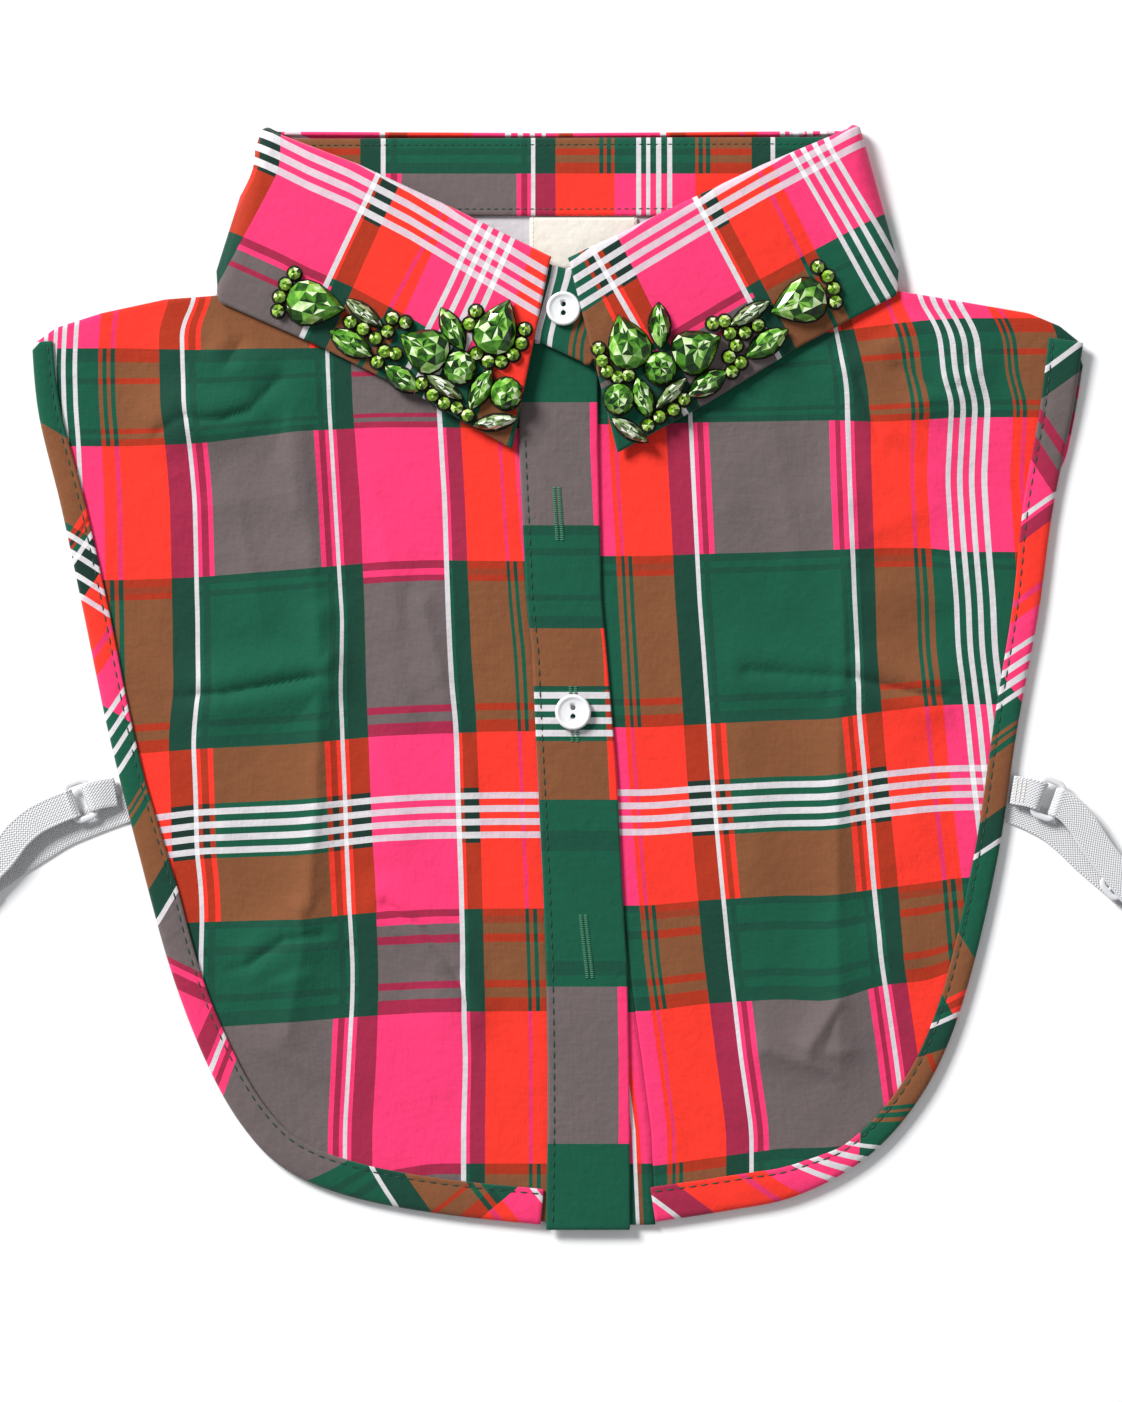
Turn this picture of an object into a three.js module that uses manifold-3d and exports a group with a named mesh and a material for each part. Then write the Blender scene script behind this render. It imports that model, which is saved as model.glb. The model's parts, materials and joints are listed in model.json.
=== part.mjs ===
// A dickey: a false shirt front of plaid cotton with a shirt collar, a half placket, bias-bound
// edges, elastic side straps and two clusters of green glass stones sewn to the collar.
// It lies flat on z = 0 with its front up and its collar towards +Y. Sizes are millimetres.

import * as THREE from 'three';
import { mergeVertices } from 'three/addons/utils/BufferGeometryUtils.js';
import Module from 'manifold-3d';

const wasm = await Module();
wasm.setup();

// Cloth thicknesses, and the gap kept between pieces that touch on the real object
const PANEL = 1.2;
const PLACKET = 1.1;
const BINDING = 0.9;
const STAND = 1.0;
const LEAF = 1.2;
const LABEL = 0.8;
const ELASTIC = 1.0;
const GAP = 0.3;

// Heights of the stacked layers above the back panel's underside
const FRONT_LEVEL = PANEL + GAP;
const BAND_LEVEL = FRONT_LEVEL + PANEL + GAP;

// The back panel rises over the collar's back leaf: full height above LIFT_END, none below LIFT_START
const LIFT = LEAF + GAP;
const LIFT_START = 66;
const LIFT_END = 126;

// Widths
const BINDING_WIDTH = 12;
const BACK_BINDING_WIDTH = 8;
const PANEL_INSET = 1.6;
const BACK_INSET = 4;
const ELASTIC_WIDTH = 9.2;
const UNDER_PLACKET_WIDTH = 16;

// Outer edge of each front from its shoulder corner down the side and round to the placket: x, y
const LEFT_EDGE = [
  [-176.3, 112], [-174, 88], [-166.5, 57], [-159.3, 23], [-151, -17], [-141, -57], [-130, -97],
  [-118, -128], [-106, -149], [-92, -163], [-71, -172], [-40, -178], [0.5, -182.3],
];
const RIGHT_EDGE = [
  [174, 112], [170.3, 88], [164, 57], [159.3, 23], [152, -17], [146, -57], [137, -97],
  [127, -126], [114, -147], [98, -162], [77, -172.5], [55, -177], [31.7, -180.6],
];
// Where the side turns into the hem, as a share of the edge's length
const HEM_CORNER = 0.72;
// The left binding stops at the placket's edge, this far before the end of the outline
const LEFT_BINDING_STOP = 7.6;

// Shoulder seam and neckline of each front, from just past the shoulder corner to the placket: x, y
const LEFT_TOP = [
  [-168, 117], [-153, 121.8], [-131.7, 126.4], [-113, 127.8], [-99, 152.6],
  [-60, 139], [-9.3, 119],
];
const RIGHT_TOP = [
  [166, 117.5], [155.7, 121.8], [124.3, 127.2], [112, 129.2], [99, 152.6],
  [60, 139], [8.4, 119],
];
const BACK_TOP = [
  [-152, 119.5], [-131.7, 125.8], [-114, 127.6], [-99, 152], [-50, 157.5],
  [50, 157.5], [99, 152], [112, 128.6], [124.3, 126.6], [152, 119.5],
];

// Button placket and the band under it: y, the placket's two edges, and the under band's right edge
const PLACKET_ROWS = [
  { y: 118, left: -14.0, right: 12.0, under: 8.0 },
  { y: 77, left: -13.7, right: 12.0, under: 9.5 },
  { y: 27, left: -11.3, right: 13.2, under: 12.0 },
  { y: 10, left: -9.4, right: 14.8, under: 13.2 },
  { y: -30, left: -7.6, right: 18.2, under: 16.2 },
  { y: -67, left: -5.8, right: 20.0, under: 19.0 },
  { y: -95, left: -4.7, right: 21.7, under: 22.4 },
  { y: -127, left: -4.2, right: 22.4, under: 26.8 },
  { y: -150, left: -4.2, right: 22.6, under: 29.8 },
  { y: -182.8, left: -4.8, right: 22.7, under: 31.3 },
];
const PANEL_TUCK = 5;
const UNDER_TOP = 116;
const UNDER_BOTTOM = -181.2;

// Wrinkles pressed into the two fronts: a ridge from one point to the other, its height and reach
const WRINKLES = [
  { from: [-87, 83], to: [-81, 0], height: 1.6, reach: 9 },
  { from: [-81, 0], to: [-90, -112], height: 1.8, reach: 9 },
  { from: [-147, -8], to: [-82, 2], height: 2.0, reach: 8 },
  { from: [-136, 84], to: [-104, 92], height: 1.6, reach: 8 },
  { from: [-112, -96], to: [-87, -84], height: 1.8, reach: 7 },
  { from: [-66, -72], to: [-36, -112], height: 1.6, reach: 8 },
  { from: [-140, 40], to: [-100, 30], height: 1.2, reach: 12 },
  { from: [96, 60], to: [92, -35], height: 1.6, reach: 9 },
  { from: [92, -35], to: [92, -150], height: 1.8, reach: 9 },
  { from: [60, 3], to: [96, 1], height: 1.6, reach: 8 },
  { from: [96, 1], to: [146, -7], height: 2.0, reach: 8 },
  { from: [117, 90], to: [138, 103], height: 1.8, reach: 7 },
  { from: [91, -106], to: [80, -124], height: 1.6, reach: 7 },
  { from: [68, -123], to: [92, -131], height: 1.6, reach: 6 },
];

// The wrinkles stay off the cloth's borders: shares of a front's width and length
const FLAT_SIDE = 0.12;
const FLAT_END = 0.06;
const FADE = 0.12;

// Collar leaf: one row for each section round the neck, from the left front to the right front.
// lip is the turned-in edge above the crease, edge is the free edge, cells the steps to the next row.
const LEAF_ROWS = [
  { lip: [-3.5, 140.1, 8.7], crease: [-3.9, 139.4, 9.8], edge: [-16.5, 77.3, 5.5], cells: 4 },
  { lip: [-34.6, 155.6, 8.4], crease: [-35, 154.9, 9.5], edge: [-47, 94.6, 5.4], cells: 4 },
  { lip: [-67.6, 170.9, 7.6], crease: [-68, 170.2, 8.7], edge: [-81, 111.6, 5.4], cells: 3 },
  { lip: [-95.5, 181.6, 6.8], crease: [-96, 180.8, 7.9], edge: [-111.5, 125, 5.4], cells: 1 },
  { lip: [-97.3, 182.8, 5.9], crease: [-98.4, 182.1, 6.6], edge: [-113.8, 126.6, 5.5], cells: 1 },
  { lip: [-97.8, 183.2, 4.4], crease: [-99.3, 182.6, 4.2], edge: [-114.2, 136, 3.2], cells: 1 },
  { lip: [-97.0, 183.4, 3.1], crease: [-98.3, 182.7, 1.8], edge: [-113, 136.5, 1.4], cells: 1 },
  { lip: [-94.5, 183.3, 2.2], crease: [-95.2, 182.4, 0.6], edge: [-110.5, 134, 0.6], cells: 7 },
  { lip: [0, 183.1, 2.2], crease: [0, 182.2, 0.6], edge: [0, 126, 0.6], cells: 7 },
  { lip: [94.5, 184, 2.2], crease: [95.2, 183.1, 0.6], edge: [108.5, 136, 0.6], cells: 1 },
  { lip: [96.7, 184.2, 3.1], crease: [98.0, 183.6, 1.8], edge: [110.8, 138.2, 1.4], cells: 1 },
  { lip: [97.5, 184.1, 4.4], crease: [99.0, 183.6, 4.2], edge: [112, 137.8, 3.2], cells: 1 },
  { lip: [97.0, 183.8, 5.9], crease: [98.1, 183.1, 6.6], edge: [111.4, 128.4, 5.3], cells: 1 },
  { lip: [95.2, 182.6, 6.8], crease: [95.7, 181.8, 7.9], edge: [109, 127, 5.4], cells: 3 },
  { lip: [66.8, 170.6, 7.6], crease: [67.2, 169.9, 8.7], edge: [80, 111.6, 5.4], cells: 4 },
  { lip: [34, 154.9, 8.4], crease: [34.4, 154.2, 9.5], edge: [49, 92.6, 5.4], cells: 4 },
  { lip: [2.6, 139.7, 8.7], crease: [3.0, 139, 9.8], edge: [19, 76, 5.5], cells: 0 },
];
// How late the leaf bends down from its crease to its edge: 1 is straight
const LEAF_CAMBER = 3;

// Collar stand: top is the edge under the crease, seam the edge sewn to the panels
const STAND_ROWS = [
  { top: [13.4, 130.5, 7.6], seam: [13.4, 110.5, 7.6], cells: 1 },
  { top: [11.6, 134, 7.6], seam: [9.4, 104.8, 7.6], cells: 2 },
  { top: [-3, 137.6, 7.6], seam: [-9.5, 113.6, 7.5], cells: 4 },
  { top: [-34, 151.5, 7.0], seam: [-46, 130.5, 6.6], cells: 3 },
  { top: [-66.5, 166, 5.8], seam: [-78, 145, 5.3], cells: 3 },
  { top: [-94, 178.3, 5.1], seam: [-102.2, 153.8, 5.0], cells: 1 },
  { top: [-95.2, 179.3, 3.9], seam: [-103.4, 154.2, 4.3], cells: 1 },
  { top: [-94, 180, 2.7], seam: [-102, 154.8, 3.6], cells: 6 },
  { top: [0, 180.3, 2.7], seam: [0, 154.7, 3.6], cells: 6 },
  { top: [94, 180.6, 2.7], seam: [102, 155, 3.6], cells: 1 },
  { top: [95.2, 180, 3.9], seam: [103.4, 154.6, 4.3], cells: 1 },
  { top: [94, 179, 5.1], seam: [102, 154, 5.0], cells: 3 },
  { top: [66.5, 166.6, 5.6], seam: [78, 145.3, 5.3], cells: 3 },
  { top: [34, 151.8, 6.1], seam: [45, 130.3, 6.0], cells: 4 },
  { top: [3, 137, 6.3], seam: [9, 113.2, 6.3], cells: 2 },
  { top: [-8.5, 131, 6.3], seam: [-8.5, 112, 6.3], cells: 0 },
];

// Blank patch inside the back of the neck
const PATCH = { x: 7.5, y: 145.4, width: 35.6, depth: 16.8 };

// Buttons: centre, the height of the cloth under them, and diameter
const BUTTON_THICKNESS = 2.6;
const BUTTON_HOLE = 0.9;
const BUTTON_HOLE_SPACING = 2.8;
const COLLAR_BUTTON = { x: 0.8, y: 123.3, cloth: 8.1, diameter: 11 };
const FRONT_BUTTON = { x: 4, y: -10.7, cloth: 4.1, diameter: 12 };

// Main stones: cut, centre, length, width, and the direction of the tip or long axis in degrees
const STONES_LEFT = [
  { cut: 'pear', x: -81.5, y: 124.7, length: 19, width: 14, turn: -10 },
  { cut: 'marquise', x: -65.4, y: 121.8, length: 15, width: 4.6, turn: -37 },
  { cut: 'marquise', x: -69.8, y: 111.8, length: 16, width: 7.2, turn: -31 },
  { cut: 'pear', x: -45.8, y: 110.1, length: 16.8, width: 14, turn: 150 },
  { cut: 'marquise', x: -36.0, y: 116.4, length: 15.2, width: 6.2, turn: -62 },
  { cut: 'round', x: -33.6, y: 103.6, length: 10.4, width: 10.4, turn: 0 },
  { cut: 'pear', x: -20.9, y: 117.2, length: 18.4, width: 13.4, turn: 67 },
  { cut: 'marquise', x: -26.7, y: 96.4, length: 14.4, width: 6.2, turn: 62 },
  { cut: 'round', x: -18.2, y: 95.0, length: 10.0, width: 10.0, turn: 0 },
  { cut: 'marquise', x: -38.6, y: 97.2, length: 14, width: 4.4, turn: -34 },
  { cut: 'marquise', x: -22.0, y: 85.6, length: 14.4, width: 4.6, turn: 9 },
  { cut: 'marquise', x: -52.9, y: 100.0, length: 13.4, width: 6.6, turn: -37 },
];
const STONES_RIGHT = [
  { cut: 'pear', x: 22.0, y: 112.2, length: 18, width: 13.6, turn: 109 },
  { cut: 'marquise', x: 32.7, y: 117.6, length: 14.6, width: 6.4, turn: 92 },
  { cut: 'pear', x: 45.4, y: 109.7, length: 16.6, width: 14, turn: 30 },
  { cut: 'round', x: 33.0, y: 103.4, length: 10.2, width: 10.2, turn: 0 },
  { cut: 'round', x: 19.2, y: 93.2, length: 9.6, width: 9.6, turn: 0 },
  { cut: 'marquise', x: 27.3, y: 93.6, length: 13.6, width: 6.2, turn: 107 },
  { cut: 'marquise', x: 36.6, y: 95.2, length: 13.6, width: 4.4, turn: 45 },
  { cut: 'marquise', x: 48.6, y: 98.4, length: 14.4, width: 6.8, turn: 33 },
  { cut: 'marquise', x: 62.7, y: 121.6, length: 14.8, width: 4.8, turn: 32 },
  { cut: 'marquise', x: 68.4, y: 111.8, length: 16, width: 7.2, turn: 34 },
  { cut: 'pear', x: 78.7, y: 125.2, length: 18.6, width: 14, turn: 200 },
  { cut: 'marquise', x: 22.8, y: 83.0, length: 13.8, width: 4.6, turn: -33 },
];
const STONE_HEIGHT = { pear: 5.2, round: 4.6, marquise: 3.6 };
const STONE_SIDES = 12;

// Rows of small round stones in cup chain: the centres of each row
const CHAINS = {
  stone_row_left_end: [[-88.5, 134.9], [-91.4, 131.3], [-93.4, 127.2], [-94, 122.6]],
  stone_row_left_middle: [[-69.9, 118.8], [-65.7, 116.5], [-61.6, 113.4], [-57.6, 115.7],
    [-56, 120], [-51.6, 118.6]],
  stone_row_left_lower: [[-61, 105.6], [-58.6, 109], [-54.9, 108.3]],
  stone_row_left_hem: [[-46.3, 98.4], [-42.7, 94.6], [-38.8, 91.9], [-34.6, 90.4], [-31, 87.9]],
  stone_row_left_front: [[-28.2, 122.2], [-30.4, 118]],
  stone_row_left_inner: [[-12, 116.2], [-13.2, 111.6], [-15.9, 107.9], [-19.8, 105.6],
    [-24.2, 105.6], [-28, 108.2]],
  stone_row_right_end: [[85.3, 137.1], [88.6, 134.0], [90.6, 130.0], [91.2, 125.6]],
  stone_row_right_middle: [[50.4, 118.2], [54.3, 119], [56.1, 115], [61.1, 115.3], [65.4, 117.7]],
  stone_row_right_lower: [[58.2, 111], [55.9, 107.2], [59.7, 105.4], [56.8, 102.4]],
  stone_row_right_hem: [[40.9, 93.2], [37.4, 89.8], [32.7, 87.4], [28.9, 84.6]],
  stone_row_right_inner: [[12.5, 109.8], [13.6, 105.8], [15.3, 102.3], [18.8, 100.5], [22.4, 101]],
};
const CHAIN_STONE = { diameter: 3.7, height: 2.4, sides: 8 };
const CHAIN_LINK = { width: 1.2, height: 0.8, rise: 1.0 };

// Side straps. Route rows are x, y and height of the elastic's middle, from the slider's bar round
// the ring, back over the slider, round the far fold and in to the back panel.
const STRAP_LEFT = {
  route: [
    [-195, -67.6, 1.8], [-186.7, -59.2, 1.8], [-181, -51.8, 1.8], [-175.5, -47, 1.8],
    [-169.5, -43.9, 1.8], [-164.7, -41.9, 1.8], [-163.2, -41.4, 1.85], [-161.8, -40.9, 3.3],
    [-163.2, -41.4, 4.75], [-164.7, -41.9, 4.72], [-169.5, -43.9, 4.7], [-175.5, -47, 4.7],
    [-181, -51.8, 4.7], [-186.7, -59.2, 4.7], [-195, -67.6, 4.8], [-199.6, -73.2, 4.2],
    [-201.4, -75.2, 2.6], [-199.8, -74, 0.9], [-195.4, -70.6, 0.53], [-189.7, -66.7, 0.53],
    [-181.4, -60.8, 0.53], [-173, -55.3, 0.53], [-165.3, -50.7, 0.53], [-154, -46, 0.53],
    [-142.7, -41.9, 0.53],
  ],
  tab: [
    [-148.4, -37.2, 1.8], [-153.2, -38, 1.8], [-156.8, -39, 1.85], [-158.2, -39.5, 3.3],
    [-156.8, -39, 4.75], [-153.2, -38, 4.4], [-148.4, -37.2, 3.15],
  ],
  ring: { x: -160, y: -40.2, turn: 20 },
  slider: { x: -195, y: -67.6, turn: 46 },
};
const STRAP_RIGHT = {
  route: [
    [186.7, -66.4, 1.8], [180.6, -58.6, 1.8], [176.8, -53.2, 1.8], [173.6, -48, 1.8],
    [169.8, -43.6, 1.8], [166.9, -41.5, 1.8], [165.3, -40.8, 1.85], [163.9, -40.3, 3.3],
    [165.3, -40.8, 4.75], [166.9, -41.5, 4.72], [169.8, -43.6, 4.7], [173.6, -48, 4.7],
    [176.8, -53.2, 4.7], [180.6, -58.6, 4.7], [186.7, -66.4, 4.8], [193, -74.2, 4.6],
    [197.2, -79.4, 4.0], [198.8, -81.4, 2.5], [197.2, -80, 0.9], [192, -74.8, 0.53],
    [183.7, -67.3, 0.53], [175.2, -60.0, 0.53], [168.8, -53.8, 0.53], [162.6, -48.8, 0.53],
    [154, -44.4, 0.53], [146.3, -41.6, 0.53],
  ],
  tab: [
    [150.4, -36.6, 1.8], [155.4, -37.4, 1.8], [158.9, -38.4, 1.85], [160.3, -38.9, 3.3],
    [158.9, -38.4, 4.75], [155.4, -37.4, 4.4], [150.4, -36.6, 3.15],
  ],
  ring: { x: 162.1, y: -39.6, turn: -20 },
  slider: { x: 186.7, y: -66.4, turn: -51 },
};
// Ring and slider: size across and along the strap, bar width, corner radius, height range
const RING = { across: 14, along: 9.2, bar: 1.4, radius: 3.2 };
const SLIDER = { across: 14, along: 9.6, bar: 1.4, radius: 3.2 };
// A strap's direction is taken as upright below this level share of its tangent
const UPRIGHT = 0.35;
// The bars that join a loop's ends are this much wider than those under the strap
const END_BAR_SHARE = 1.4;
const HARDWARE_BOTTOM = 2.65;
const HARDWARE_THICKNESS = 1.3;

const COLOURS = {
  pink: 0xf0427c,
  orange: 0xf03a26,
  green: 0x0f553f,
  brown: 0x7c4e32,
  stand: 0xd8432f,
  label: 0xe8ded2,
  white: 0xf4f2f4,
  glass: 0x17b048,
};

// Small helpers
const smooth = (value) => {
  const t = THREE.MathUtils.clamp(value, 0, 1);
  return t * t * (3 - 2 * t);
};
const lift = (y) => LIFT * smooth((y - LIFT_START) / (LIFT_END - LIFT_START));
const vector = ([x, y, z = 0]) => new THREE.Vector3(x, y, z);

function named(name, geometry, color, roughness = 0.85) {
  // One sub-part with its own material.
  const material = new THREE.MeshStandardMaterial({ color, roughness, metalness: 0 });
  const mesh = new THREE.Mesh(geometry, material);
  mesh.name = name;
  return mesh;
}

function fromFaces(points, faces) {
  // A flat-shaded geometry from points and triangles that index them.
  const geometry = new THREE.BufferGeometry();
  geometry.setAttribute('position', new THREE.Float32BufferAttribute(
    points.flatMap((point) => [point.x, point.y, point.z]), 3));
  geometry.setIndex(faces.flat());
  geometry.computeVertexNormals();
  return geometry;
}

function wall(columns, rows, place, thickness) {
  // A closed wall of even thickness round the surface place(u, v).
  const middle = (i, j) => place(
    THREE.MathUtils.clamp(i, 0, columns) / columns, THREE.MathUtils.clamp(j, 0, rows) / rows);
  const points = [];
  for (const side of [0.5, -0.5]) {
    for (let j = 0; j <= rows; j += 1) {
      for (let i = 0; i <= columns; i += 1) {
        const along = middle(i + 1, j).sub(middle(i - 1, j));
        const across = middle(i, j + 1).sub(middle(i, j - 1));
        const normal = along.cross(across).normalize();
        points.push(middle(i, j).addScaledVector(normal, side * thickness));
      }
    }
  }
  const at = (i, j) => j * (columns + 1) + i;
  const under = (columns + 1) * (rows + 1);
  const faces = [];
  for (let j = 0; j < rows; j += 1) {
    for (let i = 0; i < columns; i += 1) {
      const [a, b, c, d] = [at(i, j), at(i + 1, j), at(i + 1, j + 1), at(i, j + 1)];
      faces.push([a, b, c], [a, c, d]);
      faces.push([under + a, under + c, under + b], [under + a, under + d, under + c]);
    }
  }
  const rim = [];
  for (let i = 0; i < columns; i += 1) rim.push(at(i, 0));
  for (let j = 0; j < rows; j += 1) rim.push(at(columns, j));
  for (let i = columns; i > 0; i -= 1) rim.push(at(i, rows));
  for (let j = rows; j > 0; j -= 1) rim.push(at(0, j));
  rim.forEach((p, k) => {
    const q = rim[(k + 1) % rim.length];
    faces.push([under + p, under + q, q], [under + p, q, p]);
  });
  return fromFaces(points, faces);
}

function solid(geometry) {
  // A closed geometry as a solid that can be joined to others.
  const bare = geometry.clone();
  bare.deleteAttribute('normal');
  bare.deleteAttribute('uv');
  const merged = mergeVertices(bare, 1e-4);
  return new wasm.Manifold(new wasm.Mesh({
    numProp: 3,
    vertProperties: new Float32Array(merged.attributes.position.array),
    triVerts: new Uint32Array(merged.index.array),
  }));
}

function fromSolid(joined) {
  // A joined or cut solid as a geometry again.
  const { vertProperties, triVerts } = joined.getMesh();
  const geometry = new THREE.BufferGeometry();
  geometry.setAttribute('position', new THREE.Float32BufferAttribute(vertProperties, 3));
  geometry.setIndex([...triVerts]);
  geometry.computeVertexNormals();
  return geometry;
}

function polyline(rows) {
  // A path of straight runs through x, y points, measured by length.
  const path = new THREE.CurvePath();
  for (let k = 1; k < rows.length; k += 1) {
    path.add(new THREE.LineCurve(new THREE.Vector2(...rows[k - 1]), new THREE.Vector2(...rows[k])));
  }
  return path;
}

function edgeCurve(rows, side) {
  // The smooth outer edge; inset(t, distance) is the point that far inside it.
  const curve = new THREE.SplineCurve(rows.map((row) => new THREE.Vector2(...row)));
  const inset = (t, distance) => {
    const tangent = curve.getTangentAt(t);
    const inward = new THREE.Vector2(-tangent.y, tangent.x).multiplyScalar(side * distance);
    return curve.getPointAt(t).add(inward);
  };
  return { inset, length: curve.getLength() };
}

function patch(top, bottom, left, right) {
  // The flat surface between four border curves: top and bottom run left to right, the others down.
  return (u, v) => {
    const point = top(u).multiplyScalar(1 - v);
    point.addScaledVector(bottom(u), v);
    point.addScaledVector(left(v), 1 - u);
    point.addScaledVector(right(v), u);
    point.addScaledVector(top(0), -(1 - u) * (1 - v));
    point.addScaledVector(top(1), -u * (1 - v));
    point.addScaledVector(bottom(0), -(1 - u) * v);
    point.addScaledVector(bottom(1), -u * v);
    return point;
  };
}

function alongRows(rows, keys) {
  // Sections between the rows of a table: each row's cells give the steps to the next.
  const sections = [];
  rows.forEach((row, k) => {
    for (let step = 0; step < row.cells; step += 1) {
      const share = step / row.cells;
      sections.push(keys.map((key) => vector(row[key]).lerp(vector(rows[k + 1][key]), share)));
    }
  });
  sections.push(keys.map((key) => vector(rows.at(-1)[key])));
  return sections;
}

function column(rows, key, y) {
  // A table column read at height y, with straight lines between its rows.
  const k = THREE.MathUtils.clamp(rows.findIndex((row) => row.y <= y), 1, rows.length - 1);
  const share = (rows[k - 1].y - y) / (rows[k - 1].y - rows[k].y);
  return THREE.MathUtils.lerp(rows[k - 1][key], rows[k][key], share);
}

// Panels

function wrinkle(x, y) {
  // How far the wrinkles raise the cloth at x, y.
  let raise = 0;
  for (const { from, to, height, reach } of WRINKLES) {
    const line = new THREE.Line3(vector(from), vector(to));
    const nearest = line.closestPointToPoint(vector([x, y]), true, new THREE.Vector3());
    const distance = nearest.distanceTo(vector([x, y]));
    raise = Math.max(raise, height * Math.exp(-((distance / reach) ** 2)));
  }
  return raise;
}

const leftEdge = edgeCurve(LEFT_EDGE, 1);
const rightEdge = edgeCurve(RIGHT_EDGE, -1);

function frontPanel(topRows, edge, tuck) {
  // One front: its borders are the shoulder and neckline, the side, the hem and the placket line.
  const side = (v) => edge.inset(v * HEM_CORNER, PANEL_INSET);
  const top = polyline([side(0).toArray(), ...topRows]);
  const hem = (u) => edge.inset(HEM_CORNER + u * (1 - HEM_CORNER), PANEL_INSET);
  const placketTop = topRows.at(-1)[1];
  const placketBottom = hem(1).y;
  const placket = (v) => {
    const y = THREE.MathUtils.lerp(placketTop, placketBottom, v);
    return new THREE.Vector2(tuck(y), y);
  };
  const corner = placket(1);
  const hemToCorner = (u) => hem(u).lerp(hem(u).setX(hem(u).x + corner.x - hem(1).x), u);
  const flat = patch((u) => top.getPointAt(u), hemToCorner, side, placket);
  return (u, v) => {
    const point = flat(u, v);
    const fade = smooth((Math.min(u, 1 - u) - FLAT_SIDE) / FADE)
      * smooth((Math.min(v, 1 - v) - FLAT_END) / FADE);
    const z = lift(point.y) + FRONT_LEVEL + PANEL / 2 + fade * wrinkle(point.x, point.y);
    return new THREE.Vector3(point.x, point.y, z);
  };
}

function turnedOver(place) {
  // The same surface with its faces the other way up.
  return (u, v) => place(1 - u, v);
}

function backPanel() {
  // The back: both sides' edges, inset by its own binding.
  const inset = BACK_INSET + BACK_BINDING_WIDTH + GAP;
  const left = (v) => leftEdge.inset(v * HEM_CORNER, inset);
  const right = (v) => rightEdge.inset(v * HEM_CORNER, inset);
  const top = polyline([left(0).toArray(), ...BACK_TOP, right(0).toArray()]);
  const hemPath = polyline([
    ...[0, 0.3, 0.6, 0.9].map((u) => leftEdge.inset(HEM_CORNER + u * (1 - HEM_CORNER), inset)),
    ...[0.9, 0.6, 0.3, 0].map((u) => rightEdge.inset(HEM_CORNER + u * (1 - HEM_CORNER), inset)),
  ].map((point) => point.toArray()));
  const flat = patch((u) => top.getPointAt(u), (u) => hemPath.getPointAt(u), left, right);
  return (u, v) => {
    const point = flat(u, v);
    return new THREE.Vector3(point.x, point.y, lift(point.y) + PANEL / 2);
  };
}

// Bindings

function frontBinding(edge, stop) {
  // A strip folded over the panel's edge: flat on top, turned down at the outline.
  const top = BAND_LEVEL + BINDING / 2;
  const section = [
    { inset: BINDING_WIDTH, z: top },
    { inset: BINDING_WIDTH * 0.5, z: top },
    { inset: 1.3, z: top },
    { inset: 0.5, z: top - 0.7 },
    { inset: 0.5, z: FRONT_LEVEL + 0.2 },
  ];
  const last = 1 - stop / edge.length;
  return (u, v) => {
    const { inset, z } = section[Math.round(v * (section.length - 1))];
    const point = edge.inset(u * last, inset);
    return new THREE.Vector3(point.x, point.y, lift(edge.inset(u * last, 0).y) + z);
  };
}

function backBinding() {
  // The flat border of the back panel; at the right shoulder it shows past the front.
  const peek = (t) => 4.6 * smooth(t / 0.02) * (1 - smooth((t - 0.1) / 0.06));
  return (u, v) => {
    const isLeft = u < 0.5;
    const edge = isLeft ? leftEdge : rightEdge;
    const t = isLeft ? u * 2 : (1 - u) * 2;
    const shown = isLeft ? 0 : peek(t);
    const inset = BACK_INSET - shown + v * (BACK_BINDING_WIDTH + shown);
    const point = edge.inset(t, inset);
    return new THREE.Vector3(point.x, point.y, lift(point.y) + PANEL / 2);
  };
}

// Plackets

function placketBand(u, v) {
  const y = THREE.MathUtils.lerp(PLACKET_ROWS[0].y, PLACKET_ROWS.at(-1).y, v);
  const left = column(PLACKET_ROWS, 'left', y);
  const right = column(PLACKET_ROWS, 'right', y);
  const x = THREE.MathUtils.lerp(right, left, u);
  return new THREE.Vector3(x, y, lift(y) + BAND_LEVEL + PLACKET / 2);
}

function underBand(u, v) {
  const y = THREE.MathUtils.lerp(UNDER_TOP, UNDER_BOTTOM, v);
  const x = column(PLACKET_ROWS, 'under', y) - u * UNDER_PLACKET_WIDTH;
  return new THREE.Vector3(x, y, lift(y) + FRONT_LEVEL + PANEL / 2);
}

// Collar

const leafSections = alongRows(LEAF_ROWS, ['lip', 'crease', 'edge']);
const LEAF_SHARES = [null, 0, 0.3, 0.6, 0.82, 1];

function leafSurface(u, v) {
  // Row 0 is the lip; the rows after it run from the crease to the free edge.
  const [lip, crease, edge] = leafSections[Math.round(u * (leafSections.length - 1))];
  const share = LEAF_SHARES[Math.round(v * (LEAF_SHARES.length - 1))];
  if (share === null) return lip.clone();
  const point = crease.clone().lerp(edge, share);
  point.z = edge.z + (crease.z - edge.z) * (1 - share ** LEAF_CAMBER);
  return point;
}

const standSections = alongRows(STAND_ROWS, ['top', 'seam']);

function standSurface(u, v) {
  const [top, seam] = standSections[Math.round(u * (standSections.length - 1))];
  return top.clone().lerp(seam, v);
}

// Straps

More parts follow.
